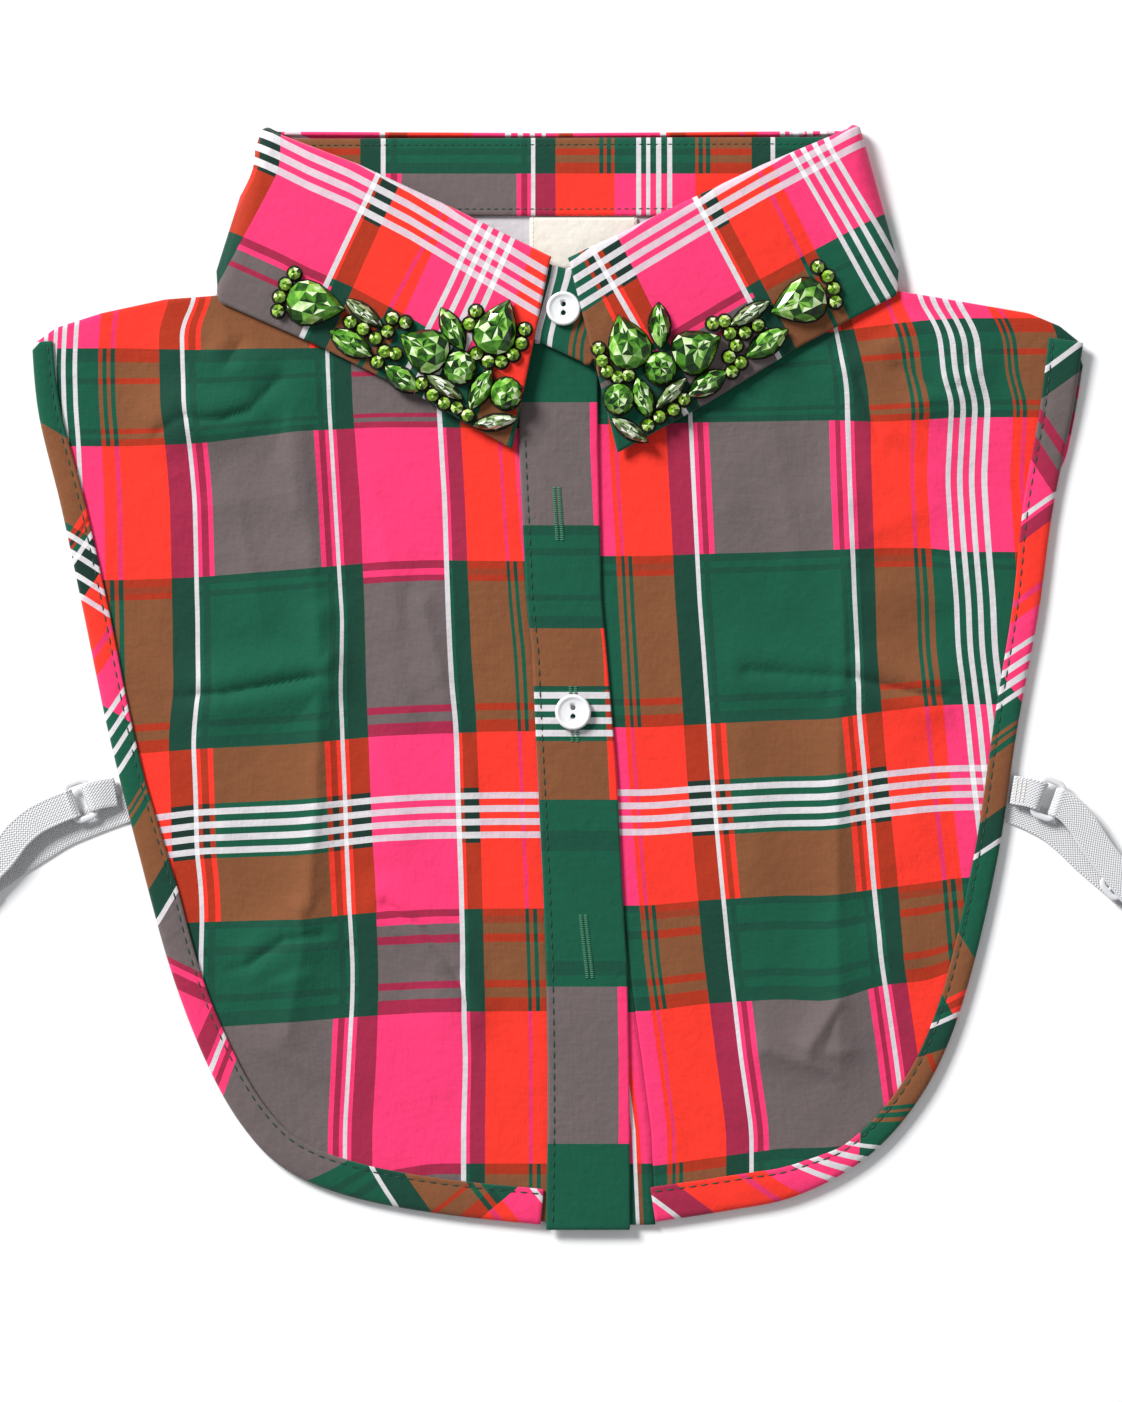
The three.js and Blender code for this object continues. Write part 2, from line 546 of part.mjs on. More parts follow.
function band(rows, turn) {
  // A flat strap along a route; its width lies level, square to the route and, at the ring, to turn.
  const curve = new THREE.CatmullRomCurve3(rows.map(vector), false, 'catmullrom', 0.4);
  const angle = THREE.MathUtils.degToRad(turn);
  const outward = new THREE.Vector3(Math.cos(angle), Math.sin(angle), 0);
  return (u, v) => {
    const flow = curve.getTangent(u).setZ(0);
    if (flow.length() < UPRIGHT) flow.copy(outward);
    if (flow.dot(outward) < 0) flow.negate();
    const side = new THREE.Vector3(-flow.y, flow.x, 0).normalize();
    return curve.getPoint(u).addScaledVector(side, (v - 0.5) * ELASTIC_WIDTH);
  };
}

function strapWall(rows, turn) {
  // The strap's solid, with two cells from each row of its route to the next.
  return wall(2 * (rows.length - 1), 1, band(rows, turn), ELASTIC);
}

function roundedRectangle(path, width, height, radius) {
  path.moveTo(-width / 2 + radius, -height / 2);
  path.lineTo(width / 2 - radius, -height / 2);
  path.absarc(width / 2 - radius, -height / 2 + radius, radius, -Math.PI / 2, 0, false);
  path.lineTo(width / 2, height / 2 - radius);
  path.absarc(width / 2 - radius, height / 2 - radius, radius, 0, Math.PI / 2, false);
  path.lineTo(-width / 2 + radius, height / 2);
  path.absarc(-width / 2 + radius, height / 2 - radius, radius, Math.PI / 2, Math.PI, false);
  path.lineTo(-width / 2, -height / 2 + radius);
  path.absarc(-width / 2 + radius, -height / 2 + radius, radius, Math.PI, Math.PI * 1.5, false);
}

function hardware({ across, along, bar, radius }, windows) {
  // A flat plastic loop with one or two windows, its bars square to the strap.
  const shape = new THREE.Shape();
  roundedRectangle(shape, along, across, radius);
  let loop = solid(new THREE.ExtrudeGeometry(shape, {
    depth: HARDWARE_THICKNESS, bevelEnabled: false, curveSegments: 4,
  }));
  const width = (along - bar * (windows + 1)) / windows;
  const height = across - 2 * bar * END_BAR_SHARE;
  for (let k = 0; k < windows; k += 1) {
    const hole = new THREE.BoxGeometry(width, height, 4 * HARDWARE_THICKNESS);
    hole.translate(-along / 2 + bar + width / 2 + k * (width + bar), 0, 0);
    loop = loop.subtract(solid(hole));
  }
  return fromSolid(loop);
}

function button({ diameter }) {
  // A round button: a bevelled disc with two holes in line.
  const bevel = 0.5;
  const shape = new THREE.Shape();
  shape.absarc(0, 0, diameter / 2 - bevel, 0, Math.PI * 2, false);
  for (const side of [1, -1]) {
    const hole = new THREE.Path();
    hole.absarc(0, side * BUTTON_HOLE_SPACING / 2, BUTTON_HOLE + bevel, 0, Math.PI * 2, true);
    shape.holes.push(hole);
  }
  const geometry = new THREE.ExtrudeGeometry(shape, {
    depth: BUTTON_THICKNESS - 2 * bevel,
    bevelThickness: bevel,
    bevelSize: bevel,
    bevelSegments: 1,
    curveSegments: 7,
  });
  return geometry.translate(0, 0, bevel);
}

// Stones

function stoneOutline(cut, length, width, sides) {
  // Points round a stone whose long axis is x; a pear's tip points to +x.
  const PEAR_FULLNESS = 0.77;
  return Array.from({ length: sides }, (_, k) => {
    const angle = (k / sides) * Math.PI * 2;
    const half = Math.sin(angle);
    const spread = { round: half, marquise: half * Math.abs(half),
      pear: (half * Math.sin(angle / 2)) / PEAR_FULLNESS }[cut];
    return new THREE.Vector2((Math.cos(angle) * length) / 2, (spread * width) / 2);
  });
}

function loft(outline, levels, place) {
  // Rings of an outline at rising levels, closed by flat caps.
  const count = outline.length;
  const points = levels.flatMap(({ scale, z }) => outline.map(
    (point) => place(point.x * scale, point.y * scale, z)));
  const faces = [];
  for (let ring = 0; ring < levels.length - 1; ring += 1) {
    for (let k = 0; k < count; k += 1) {
      const [a, b] = [ring * count + k, ring * count + ((k + 1) % count)];
      faces.push([a, b, b + count], [a, b + count, a + count]);
    }
  }
  const last = (levels.length - 1) * count;
  for (let k = 1; k < count - 1; k += 1) {
    faces.push([0, k + 1, k], [last, last + k, last + k + 1]);
  }
  return fromFaces(points, faces);
}

const leafWall = wall(leafSections.length - 1, LEAF_SHARES.length - 1, leafSurface, LEAF);
const leaf = named('collar_leaf', leafWall, COLOURS.pink);
const downwards = new THREE.Raycaster();

function seat(x, y, beyond = 0) {
  // Height just above the leaf at x, y, where a stone's cup stands; beyond the leaf's edge, beyond.
  downwards.set(new THREE.Vector3(x, y, 40), new THREE.Vector3(0, 0, -1));
  const hits = downwards.intersectObject(leaf);
  return hits.length > 0 ? hits[0].point.z + GAP : beyond;
}

function mainStone({ cut, x, y, length, width, turn }) {
  // Claw cup, girdle, crown facets and table; the whole stone follows the leaf's slope.
  const height = STONE_HEIGHT[cut];
  const angle = THREE.MathUtils.degToRad(turn);
  const middle = seat(x, y);
  const place = (along, across, z) => {
    const px = x + along * Math.cos(angle) - across * Math.sin(angle);
    const py = y + along * Math.sin(angle) + across * Math.cos(angle);
    return new THREE.Vector3(px, py, seat(px, py, middle) + z);
  };
  return loft(stoneOutline(cut, length, width, STONE_SIDES), [
    { scale: 0.9, z: 0 },
    { scale: 1, z: height * 0.45 },
    { scale: 0.55, z: height },
  ], place);
}

function chainRow(centres) {
  // Small stones in their cups, joined by the links of the chain.
  const { diameter, height, sides } = CHAIN_STONE;
  let row = null;
  centres.forEach(([x, y], k) => {
    const base = seat(x, y);
    const outline = stoneOutline('round', diameter, diameter, sides);
    const levels = [{ scale: 1, z: 0 }, { scale: 0.62, z: height }];
    const stone = loft(outline, levels, (along, across, z) => {
      const [px, py] = [x + along, y + across];
      return new THREE.Vector3(px, py, seat(px, py, base) + z);
    });
    row = row ? row.add(solid(stone)) : solid(stone);
    if (k > 0) {
      const [fromX, fromY] = centres[k - 1];
      const from = new THREE.Vector3(fromX, fromY, seat(fromX, fromY) + CHAIN_LINK.rise);
      const to = new THREE.Vector3(x, y, base + CHAIN_LINK.rise);
      const link = new THREE.BoxGeometry(CHAIN_LINK.width, CHAIN_LINK.height, from.distanceTo(to));
      const holder = new THREE.Object3D();
      holder.up.set(0, 0, 1);
      holder.position.copy(from).lerp(to, 0.5);
      holder.lookAt(to);
      holder.updateMatrix();
      row = row.add(solid(link.applyMatrix4(holder.matrix)));
    }
  });
  return fromSolid(row);
}

// Assembly

const group = new THREE.Group();
const leftTuck = (y) => column(PLACKET_ROWS, 'left', y) + PANEL_TUCK;
const rightTuck = (y) => column(PLACKET_ROWS, 'under', y) + GAP + 0.1;
const leftFront = turnedOver(frontPanel(LEFT_TOP, leftEdge, leftTuck));
const rightFront = frontPanel(RIGHT_TOP, rightEdge, rightTuck);
const leftBinding = frontBinding(leftEdge, LEFT_BINDING_STOP);
const rightBinding = frontBinding(rightEdge, 0);
const standWall = wall(standSections.length - 1, 2, standSurface, STAND);
const label = new THREE.BoxGeometry(PATCH.width, PATCH.depth, LABEL);
label.translate(PATCH.x, PATCH.y, LIFT + PANEL + GAP + LABEL / 2);

group.add(named('back_panel', wall(14, 16, turnedOver(backPanel()), PANEL), COLOURS.pink));
group.add(named('binding_back', wall(60, 1, backBinding(), PANEL), COLOURS.brown));
group.add(named('front_panel_left', wall(14, 18, leftFront, PANEL), COLOURS.pink));
group.add(named('front_panel_right', wall(14, 18, rightFront, PANEL), COLOURS.orange));
group.add(named('binding_left', wall(30, 4, leftBinding, BINDING), COLOURS.green));
group.add(named('binding_right', wall(30, 4, rightBinding, BINDING), COLOURS.brown));
group.add(named('button_placket', wall(1, 24, placketBand, PLACKET), COLOURS.green));
group.add(named('under_placket', wall(1, 20, underBand, PANEL), COLOURS.pink));
group.add(named('collar_stand', standWall, COLOURS.stand));
group.add(leaf);
group.add(named('neck_label', label, COLOURS.label));

for (const [name, spec] of [['collar_button', COLLAR_BUTTON], ['front_button', FRONT_BUTTON]]) {
  const mesh = named(name, button(spec), COLOURS.white, 0.35);
  mesh.position.set(spec.x, spec.y, spec.cloth + GAP);
  group.add(mesh);
}

STONES_LEFT.forEach((spec, k) => {
  group.add(named(`stone_left_${k + 1}`, mainStone(spec), COLOURS.glass, 0.08));
});
STONES_RIGHT.forEach((spec, k) => {
  group.add(named(`stone_right_${k + 1}`, mainStone(spec), COLOURS.glass, 0.08));
});
for (const [name, centres] of Object.entries(CHAINS)) {
  group.add(named(name, chainRow(centres), COLOURS.glass, 0.08));
}

for (const [side, strap] of [['left', STRAP_LEFT], ['right', STRAP_RIGHT]]) {
  const { turn: ringTurn } = strap.ring;
  group.add(named(`strap_elastic_${side}`, strapWall(strap.route, ringTurn), COLOURS.white));
  group.add(named(`strap_tab_${side}`, strapWall(strap.tab, ringTurn), COLOURS.white));
  const loops = [['ring', RING, 1], ['slider', SLIDER, 2]];
  for (const [piece, size, windows] of loops) {
    const mesh = named(`strap_${piece}_${side}`, hardware(size, windows), COLOURS.white, 0.3);
    const { x, y, turn } = strap[piece];
    mesh.position.set(x, y, HARDWARE_BOTTOM);
    mesh.rotation.z = THREE.MathUtils.degToRad(turn);
    group.add(mesh);
  }
}

export default group;
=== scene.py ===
# %% [markdown]
# # A plaid dickey with a jewelled collar
# A dickey is a false shirt front: two plaid fronts on a back panel, a shirt collar, a button placket,
# bias-bound edges and an elastic strap at each side. Here it lies flat on a table, front up.
# The solid model comes first as a fixed frame, and every cloth, stone and strap is then made in its
# place. All tables are in millimetres and become metres when a mesh is made.

# %% Load the solid model
import json
import math

import bpy
import numpy as np
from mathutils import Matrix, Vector, noise
from mathutils.bvhtree import BVHTree

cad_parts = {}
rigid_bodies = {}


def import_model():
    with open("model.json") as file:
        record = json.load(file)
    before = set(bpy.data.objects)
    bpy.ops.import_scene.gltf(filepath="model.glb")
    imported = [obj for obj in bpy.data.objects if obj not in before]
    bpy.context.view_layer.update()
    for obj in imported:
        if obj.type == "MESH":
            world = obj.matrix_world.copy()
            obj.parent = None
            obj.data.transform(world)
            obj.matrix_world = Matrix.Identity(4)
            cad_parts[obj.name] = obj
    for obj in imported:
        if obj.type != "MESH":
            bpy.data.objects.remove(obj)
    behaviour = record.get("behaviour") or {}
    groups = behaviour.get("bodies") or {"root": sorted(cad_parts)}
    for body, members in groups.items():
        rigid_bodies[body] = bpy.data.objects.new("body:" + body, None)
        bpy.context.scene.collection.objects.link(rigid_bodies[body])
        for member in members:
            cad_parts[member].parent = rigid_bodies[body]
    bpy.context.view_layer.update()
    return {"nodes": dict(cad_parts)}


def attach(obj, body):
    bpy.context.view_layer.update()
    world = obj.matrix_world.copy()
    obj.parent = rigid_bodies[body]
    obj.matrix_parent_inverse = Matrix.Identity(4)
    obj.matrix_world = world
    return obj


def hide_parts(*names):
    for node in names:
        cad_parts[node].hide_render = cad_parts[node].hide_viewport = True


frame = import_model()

MM = 0.001
CHART = 3.0  # chart units per millimetre: the charts of the plaid are three times life size
PANEL_UNIT = MM / CHART


def linked(name, data):
    """An object of the scene."""
    piece = bpy.data.objects.new(name, data)
    bpy.context.scene.collection.objects.link(piece)
    return piece


# %% [markdown]
# ## Camera, light and floor
# The photograph looks straight down from far away. A long lens at two metres gives the same flat view.
# One large soft light from the upper left makes the wrinkles readable, and a pale sky fills the shadows.

# %% Camera
VIEW_CENTRE = (0.0, -0.007)
VIEW_HEIGHT = 2.0
camera_data = bpy.data.cameras.new("camera")
camera_data.lens = 154.0
camera_data.sensor_width = 36.0
camera_data.clip_end = 20.0
camera = linked("camera", camera_data)
camera.location = (*VIEW_CENTRE, VIEW_HEIGHT)
bpy.context.scene.camera = camera
bpy.context.scene.view_settings.view_transform = "Standard"
print("camera height", VIEW_HEIGHT)

# %% Light
LIGHTS = {  # place, size, power
    "window_light": ((-2.5, 2.4, 2.4), 1.3, 262.0),
    "fill_light": ((0.9, -0.4, 1.3), 1.2, 3.0),
}
for light_name, (place, size, power) in LIGHTS.items():
    light_data = bpy.data.lights.new(light_name, "AREA")
    light_data.size = size
    light_data.energy = power
    light = linked(light_name, light_data)
    light.location = place
    light.rotation_euler = (-Vector(place)).to_track_quat("-Z", "Y").to_euler()
world = bpy.data.worlds.new("room")
world.use_nodes = True
world.node_tree.nodes["Background"].inputs["Color"].default_value = (0.95, 0.97, 1.0, 1)
world.node_tree.nodes["Background"].inputs["Strength"].default_value = 0.3
bpy.context.scene.world = world
print("lights:", list(LIGHTS))


# %% [markdown]
# ## Small tools for materials
# Colours are written as they look on a screen and changed to the renderer's linear values.
# `node` adds a node with its values and its links; `maths`, `mixed` and the others are its common uses.

# %% Material helpers
def screen(red, green, blue):
    """A screen colour of 0 to 255 as a linear colour."""
    values = [c / 255 for c in (red, green, blue)]
    return (*[c / 12.92 if c <= 0.04045 else ((c + 0.055) / 1.055) ** 2.4 for c in values], 1.0)


def link(tree, output, input_socket):
    tree.links.new(output, input_socket)


def node(tree, kind, inputs=None, **settings):
    """A new node: its inputs are plain values or sockets to link, its settings are plain values."""
    fresh = tree.nodes.new(kind)
    for key, value in settings.items():
        setattr(fresh, key, value)
    for key, value in (inputs or {}).items():
        if isinstance(value, bpy.types.NodeSocket):
            link(tree, value, fresh.inputs[key])
        else:
            fresh.inputs[key].default_value = value
    return fresh


def made(tree, kind, inputs=None, **settings):
    """The first output of a new node."""
    return node(tree, kind, inputs, **settings).outputs[0]


def maths(tree, operation, first, second=0.0, third=0.0):
    return made(tree, "ShaderNodeMath", {0: first, 1: second, 2: third}, operation=operation)


def wave_of(tree, value, factor):
    return maths(tree, "SINE", maths(tree, "MULTIPLY", value, factor))


def mixed(tree, share, first, second, blend="MIX"):
    mix = tree.nodes.new("ShaderNodeMix")
    mix.data_type = "RGBA"
    mix.blend_type = blend
    for index, value in ((0, share), (6, first), (7, second)):
        if isinstance(value, bpy.types.NodeSocket):
            link(tree, value, mix.inputs[index])
        else:
            mix.inputs[index].default_value = value
    return mix.outputs[2]


def new_material(name, **values):
    """A material with its principled shader and the plain values of it; Coat_Weight means Coat Weight."""
    material = bpy.data.materials.new(name)
    material.use_nodes = True
    shader = material.node_tree.nodes["Principled BSDF"]
    for key, value in values.items():
        shader.inputs[key.replace("_", " ")].default_value = value
    return material, material.node_tree, shader


def grey(tree, tone):
    """The same number as red, green and blue."""
    return made(tree, "ShaderNodeCombineColor", {0: tone, 1: tone, 2: tone})


def noise_at(tree, place, scale, detail, **more):
    return made(tree, "ShaderNodeTexNoise", {"Vector": place, "Scale": scale, "Detail": detail, **more})


def object_noise(tree, scale, detail, **more):
    """Noise that is fixed to the piece, so that it stays put when the piece moves."""
    return noise_at(tree, node(tree, "ShaderNodeTexCoord").outputs["Object"], scale, detail, **more)


def uneven(tree, scale, detail, low, high):
    """A grey that wanders between two shades."""
    noise_value = object_noise(tree, scale, detail)
    return grey(tree, made(tree, "ShaderNodeMapRange", {"Value": noise_value, 3: low, 4: high}))


def tint(tree, shader, colour, shade):
    """Give a shader its colour, darkened by a shade."""
    link(tree, mixed(tree, 1.0, colour, shade, "MULTIPLY"), shader.inputs["Base Color"])


def banded_ramp(tree, value, bands):
    """A ramp of hard-edged bands, each with where it begins and its colour."""
    ramp = node(tree, "ShaderNodeValToRGB", {"Fac": value})
    ramp.color_ramp.interpolation = "CONSTANT"
    stops = ramp.color_ramp.elements
    stops.remove(stops[1])
    for index, (begin, colour) in enumerate(bands):
        stop = stops[0] if index == 0 else stops.new(begin)
        stop.color = colour
    return ramp.outputs


def new_group(name, inputs, outputs):
    """A shader node group with named sockets: name, kind, default value."""
    group = bpy.data.node_groups.new(name, "ShaderNodeTree")
    for label, kind, value in inputs:
        socket = group.interface.new_socket(label, in_out="INPUT", socket_type=kind)
        if value is not None:
            socket.default_value = value
    for label, kind in outputs:
        group.interface.new_socket(label, in_out="OUTPUT", socket_type=kind)
    return group, group.nodes.new("NodeGroupInput").outputs, group.nodes.new("NodeGroupOutput").inputs


print("helpers ready")

# %% [markdown]
# ## How the plaid is woven
# A plaid is not printed. Each spot shows a mix of the warp yarn and the weft yarn that cross there.
# So the colour comes from a small table: one row for each kind of warp stripe, one column for each
# kind of weft stripe. The stripes themselves are lists of widths along and across the cloth.
# One could draw the squares by hand instead, but the table keeps each crossing right on the bias
# strips too, where the same cloth is turned by 45 degrees.

# %% Yarn colours and their crossings
PINK, MAGENTA, LINE = screen(244, 52, 112), screen(158, 30, 66), screen(224, 44, 100)
ORANGE, RUST, BROWN = screen(244, 50, 34), screen(168, 44, 12), screen(126, 76, 44)
GREEN, DEEP, NIGHT, SHADY = screen(1, 82, 59), screen(5, 62, 46), screen(8, 44, 34), screen(4, 71, 52)
GREY, BURNT = screen(104, 92, 92), screen(146, 54, 26)
WHITE, ROSY, BRIGHT = screen(210, 206, 209), screen(214, 190, 200), screen(236, 234, 236)

WARP_KINDS = "POabDUTGKX"
WEFT_KINDS = "ABCWDEFHX"
CROSSINGS = {  # warp kind: its colour under each weft kind, in the order of WEFT_KINDS
    "P": (PINK, GREEN, PINK, PINK, SHADY, GREEN, GREEN, GREEN, ROSY),
    "O": (ORANGE, BROWN, ORANGE, ORANGE, RUST, BURNT, RUST, RUST, ROSY),
    "a": (ORANGE, GREEN, ORANGE, ORANGE, DEEP, DEEP, GREEN, DEEP, ROSY),
    "b": (LINE, GREEN, LINE, LINE, DEEP, DEEP, GREEN, DEEP, ROSY),
    "D": (MAGENTA, DEEP, RUST, NIGHT, DEEP, DEEP, DEEP, DEEP, WHITE),
    "U": (MAGENTA, SHADY, RUST, NIGHT, SHADY, SHADY, SHADY, SHADY, WHITE),
    "T": (PINK, GREEN, ORANGE, RUST, SHADY, GREEN, PINK, GREEN, WHITE),
    "G": (GREY, GREEN, BROWN, GREEN, SHADY, GREEN, GREY, SHADY, WHITE),
    "K": (PINK, GREY, PINK, PINK, MAGENTA, PINK, PINK, MAGENTA, ROSY),
    "X": (WHITE, WHITE, WHITE, WHITE, WHITE, WHITE, WHITE, WHITE, BRIGHT),
}


def build_crossing_group():
    group, inputs, outputs = new_group(
        "plaid_crossing",
        [("Warp", "NodeSocketFloat", 0.0), ("Weft", "NodeSocketFloat", 0.0)],
        [("Color", "NodeSocketColor")])
    colour = None
    for column in range(len(WEFT_KINDS)):
        under_weft = banded_ramp(group, inputs["Warp"], [
            (row / len(WARP_KINDS), CROSSINGS[warp][column]) for row, warp in enumerate(WARP_KINDS)])["Color"]
        if colour is None:
            colour = under_weft
        else:
            chosen = maths(group, "GREATER_THAN", inputs["Weft"], column / len(WEFT_KINDS))
            colour = mixed(group, chosen, colour, under_weft)
    link(group, colour, outputs["Color"])
    return group


CROSSING_GROUP = build_crossing_group()
print("crossings:", len(WARP_KINDS) * len(WEFT_KINDS))


# %% [markdown]
# ## The cotton itself
# Close up, the cloth is a plain weave of fine yarns that vary a little in colour. A second group gives
# that: a tiny over-and-under relief with painted shade between the yarns, slubs along both yarns and slow random
# changes of tone.
# It reads the thread coordinates, so the yarns follow the cut of every piece.

# %% Weave group
SLUB_STRETCH = 0.06  # a slub is that much shorter across the yarn than along it
# The yarn share is painted shade: the weave's relief darkens the colour between the yarns.
YARN_PAINTED_SHADE, CLOUD_SHADE = 0.05, 0.22  # how much darker between the yarns, and in the slow clouds


def build_weave_group():
    group, inputs, outputs = new_group(
        "cotton_weave",
        [("Threads", "NodeSocketVector", None), ("Yarns per metre", "NodeSocketFloat", 2600.0),
         ("Slub", "NodeSocketFloat", 0.3), ("Base roughness", "NodeSocketFloat", 0.8)],
        [("Shade", "NodeSocketFloat"), ("Roughness", "NodeSocketFloat"), ("Height", "NodeSocketFloat")])
    parts = node(group, "ShaderNodeSeparateXYZ", {0: inputs["Threads"]}).outputs
    across, along = (maths(group, "MULTIPLY", parts[k], inputs["Yarns per metre"]) for k in (0, 1))
    wave = maths(group, "MULTIPLY", wave_of(group, across, math.pi), wave_of(group, along, math.pi))
    slubs = []
    for stretch in ((1.0, SLUB_STRETCH), (SLUB_STRETCH, 1.0)):
        place = made(group, "ShaderNodeCombineXYZ", {
            0: maths(group, "MULTIPLY", across, stretch[0]),
            1: maths(group, "MULTIPLY", along, stretch[1])})
        slubs.append(noise_at(group, place, 0.5, 4.0, Roughness=0.7))
    cloud = noise_at(group, inputs["Threads"], 42.0, 3.0)
    streak = maths(group, "SUBTRACT", maths(group, "ADD", *slubs), 1.0)
    shade = maths(group, "MULTIPLY_ADD", streak, inputs["Slub"], 1.0)
    # Painted shade of the over-and-under relief, darker between the yarns
    shade = maths(group, "MULTIPLY_ADD", wave, YARN_PAINTED_SHADE, shade)
    shade = maths(group, "MULTIPLY_ADD", maths(group, "SUBTRACT", cloud, 0.5), CLOUD_SHADE, shade)
    link(group, shade, outputs["Shade"])
    link(group, maths(group, "MULTIPLY_ADD", streak, 0.12, inputs["Base roughness"]), outputs["Roughness"])
    link(group, maths(group, "MULTIPLY_ADD", streak, 0.6, maths(group, "ABSOLUTE", wave)), outputs["Height"])
    return group


WEAVE_GROUP = build_weave_group()
print("weave group ready")


# %% Plaid materials
RUN = 5  # stripes in one ramp: a ramp is stored in 256 steps, so a short run keeps narrow stripes sharp


def stripe_codes(tree, value, start, bands, kinds):
    """The kind of stripe at a thread coordinate, as a number from 0 to 1. bands holds (kind, its end)."""
    begins = [start] + [band[1] for band in bands[:-1]]
    result = None
    for first in range(0, len(bands), RUN):
        run = bands[first:first + RUN]
        low, high = begins[first], run[-1][1]
        place = made(tree, "ShaderNodeMapRange", {"Value": value, 1: low, 2: high, 3: 0.0, 4: 1.0})
        level = banded_ramp(tree, place, [
            ((begins[first + index] - low) / (high - low), ((kinds.index(kind) + 0.5) / len(kinds),) * 4)
            for index, (kind, _) in enumerate(run)])["Alpha"]
        if result is None:
            result = level
        else:
            beyond = maths(tree, "GREATER_THAN", value, low)
            result = maths(tree, "MULTIPLY_ADD", maths(tree, "SUBTRACT", level, result), beyond, result)
    return result


CRINKLES, CRINKLE_DEPTH = 230.0, 0.0008  # to the metre, metres: unevenness left by washing and pressing
YARN_DEPTH = 0.0003  # metres


def bare_cotton(name, yarns=2600.0, slub=0.3):
    """A cotton that still needs its colour: material, tree, shader, thread coordinates and weave."""
    material, tree, shader = new_material(
        name, Specular_IOR_Level=0.22, Sheen_Weight=0.18, Sheen_Roughness=0.5)
    threads = made(tree, "ShaderNodeUVMap", uv_map="threads")
    weave = node(tree, "ShaderNodeGroup", {}, node_tree=WEAVE_GROUP)
    weave.inputs["Yarns per metre"].default_value = yarns
    weave.inputs["Slub"].default_value = slub
    link(tree, threads, weave.inputs["Threads"])
    return material, tree, shader, threads, weave.outputs


def dress(tree, shader, colour, weave, bump=0.25):
    """Finish a cloth: yarn tone and painted shade between the yarns over the colour, the relief of the weave, and
    the crinkles.
    """
    tint(tree, shader, colour, grey(tree, weave["Shade"]))
    link(tree, weave["Roughness"], shader.inputs["Roughness"])
    relief = node(tree, "ShaderNodeBump", {"Height": weave["Height"], "Strength": bump, "Distance": YARN_DEPTH})
    crinkle = object_noise(tree, CRINKLES, 3.0, Roughness=0.55)
    crumpled = node(tree, "ShaderNodeBump", {
        "Height": crinkle, "Strength": 0.5, "Distance": CRINKLE_DEPTH, "Normal": relief.outputs["Normal"]})
    link(tree, crumpled.outputs["Normal"], shader.inputs["Normal"])


def plaid(name, warps, wefts, unit=PANEL_UNIT):
    """A plaid cotton. warps and wefts are (start, bands) in chart units; unit is metres per chart unit."""
    material, tree, shader, threads, weave = bare_cotton(name)
    parts = node(tree, "ShaderNodeSeparateXYZ", {0: threads}).outputs
    codes = []
    for part, (start, bands), kinds in ((parts[0], warps, WARP_KINDS), (parts[1], wefts, WEFT_KINDS)):
        place = maths(tree, "MULTIPLY", part, 1.0 / unit)
        codes.append(stripe_codes(tree, place, start, bands, kinds))
    crossing = node(tree, "ShaderNodeGroup", node_tree=CROSSING_GROUP)
    link(tree, codes[0], crossing.inputs["Warp"])
    link(tree, codes[1], crossing.inputs["Weft"])
    dress(tree, shader, crossing.outputs["Color"], weave)
    return material


def stripes(start, text):
    """Where the stripes start, and 'P 60 X 64.7' as [('P', 60.0), ('X', 64.7)]: each kind and its end."""
    words = text.split()
    return start, [(kind, float(end)) for kind, end in zip(words[::2], words[1::2])]


# Weft stripes of the whole cloth, from the shoulder down
CLOTH_WEFTS = stripes(200.0,
    "C 345 D 357 B 370 D 375 B 413 D 417 B 421 D 427 A 560 D 568 E 574 D 580 B 704 D 711 B 721 D 733 "
    "C 790 W 795.2 X 801.8 W 808.3 X 814.8 W 821.3 X 827.8 W 834.2 X 840.8 W 845 C 910 "
    "D 917 E 924 B 935 D 943 B 981 D 988 B 998 D 1012 A 1163 D 1173 B 1260")
LEFT_WARPS = stripes(0.0,
    "P 49 X 53 P 58.5 X 62.5 P 67 X 71.5 P 78.5 X 83 P 104 O 108.5 a 113 O 117 b 122 O 170 D 193 "
    "X 197 T 201 U 208 T 213 G 318 T 323 U 329 T 333 X 337 T 341 D 360 K 442 X 447 T 450 D 465 "
    "O 502 b 505 O 508.5 a 512 O 518 P 570")
RIGHT_WARPS = stripes(560.0,
    "P 615 O 620 b 623.5 O 627 a 631 O 672 D 694 X 698.3 T 702.5 U 708.5 T 713.5 G 833 T 839 U 844 "
    "T 849 X 853.7 T 857.5 D 873 O 912.5 b 916.5 O 919.5 a 924 O 929.5 P 948 X 953 P 959.5 X 965 "
    "P 971.5 X 977 P 984 X 990 P 1013 O 1016 a 1019.5 O 1022.5 b 1026.5 O 1068 D 1120")
PLAID_LEFT = plaid("plaid_left_front", LEFT_WARPS, CLOTH_WEFTS)
PLAID_RIGHT = plaid("plaid_right_front", RIGHT_WARPS, CLOTH_WEFTS)
print("weft stripes:", len(CLOTH_WEFTS[1]))


# %% [markdown]
# ## Small tools for shapes
# Every cloth piece starts as one smooth surface: a grid of points in rows and columns. `cloth` gives
# the grid two faces and a rounded rim, so that each piece is a closed wall as thin as its solid.
# The thread coordinates of each point go into a UV map named threads.

# %% Curves and numbers
def smooth_step(value):
    t = np.clip(value, 0.0, 1.0)
    return t * t * (3 - 2 * t)


def along_path(points, shares):
    """Points at shares of a polyline's length."""
    points = np.asarray(points, float)
    lengths = np.concatenate([[0], np.cumsum(np.linalg.norm(np.diff(points, axis=0), axis=1))])
    place = np.asarray(shares) * lengths[-1]
    return np.stack([np.interp(place, lengths, points[:, k]) for k in range(points.shape[1])], axis=-1)


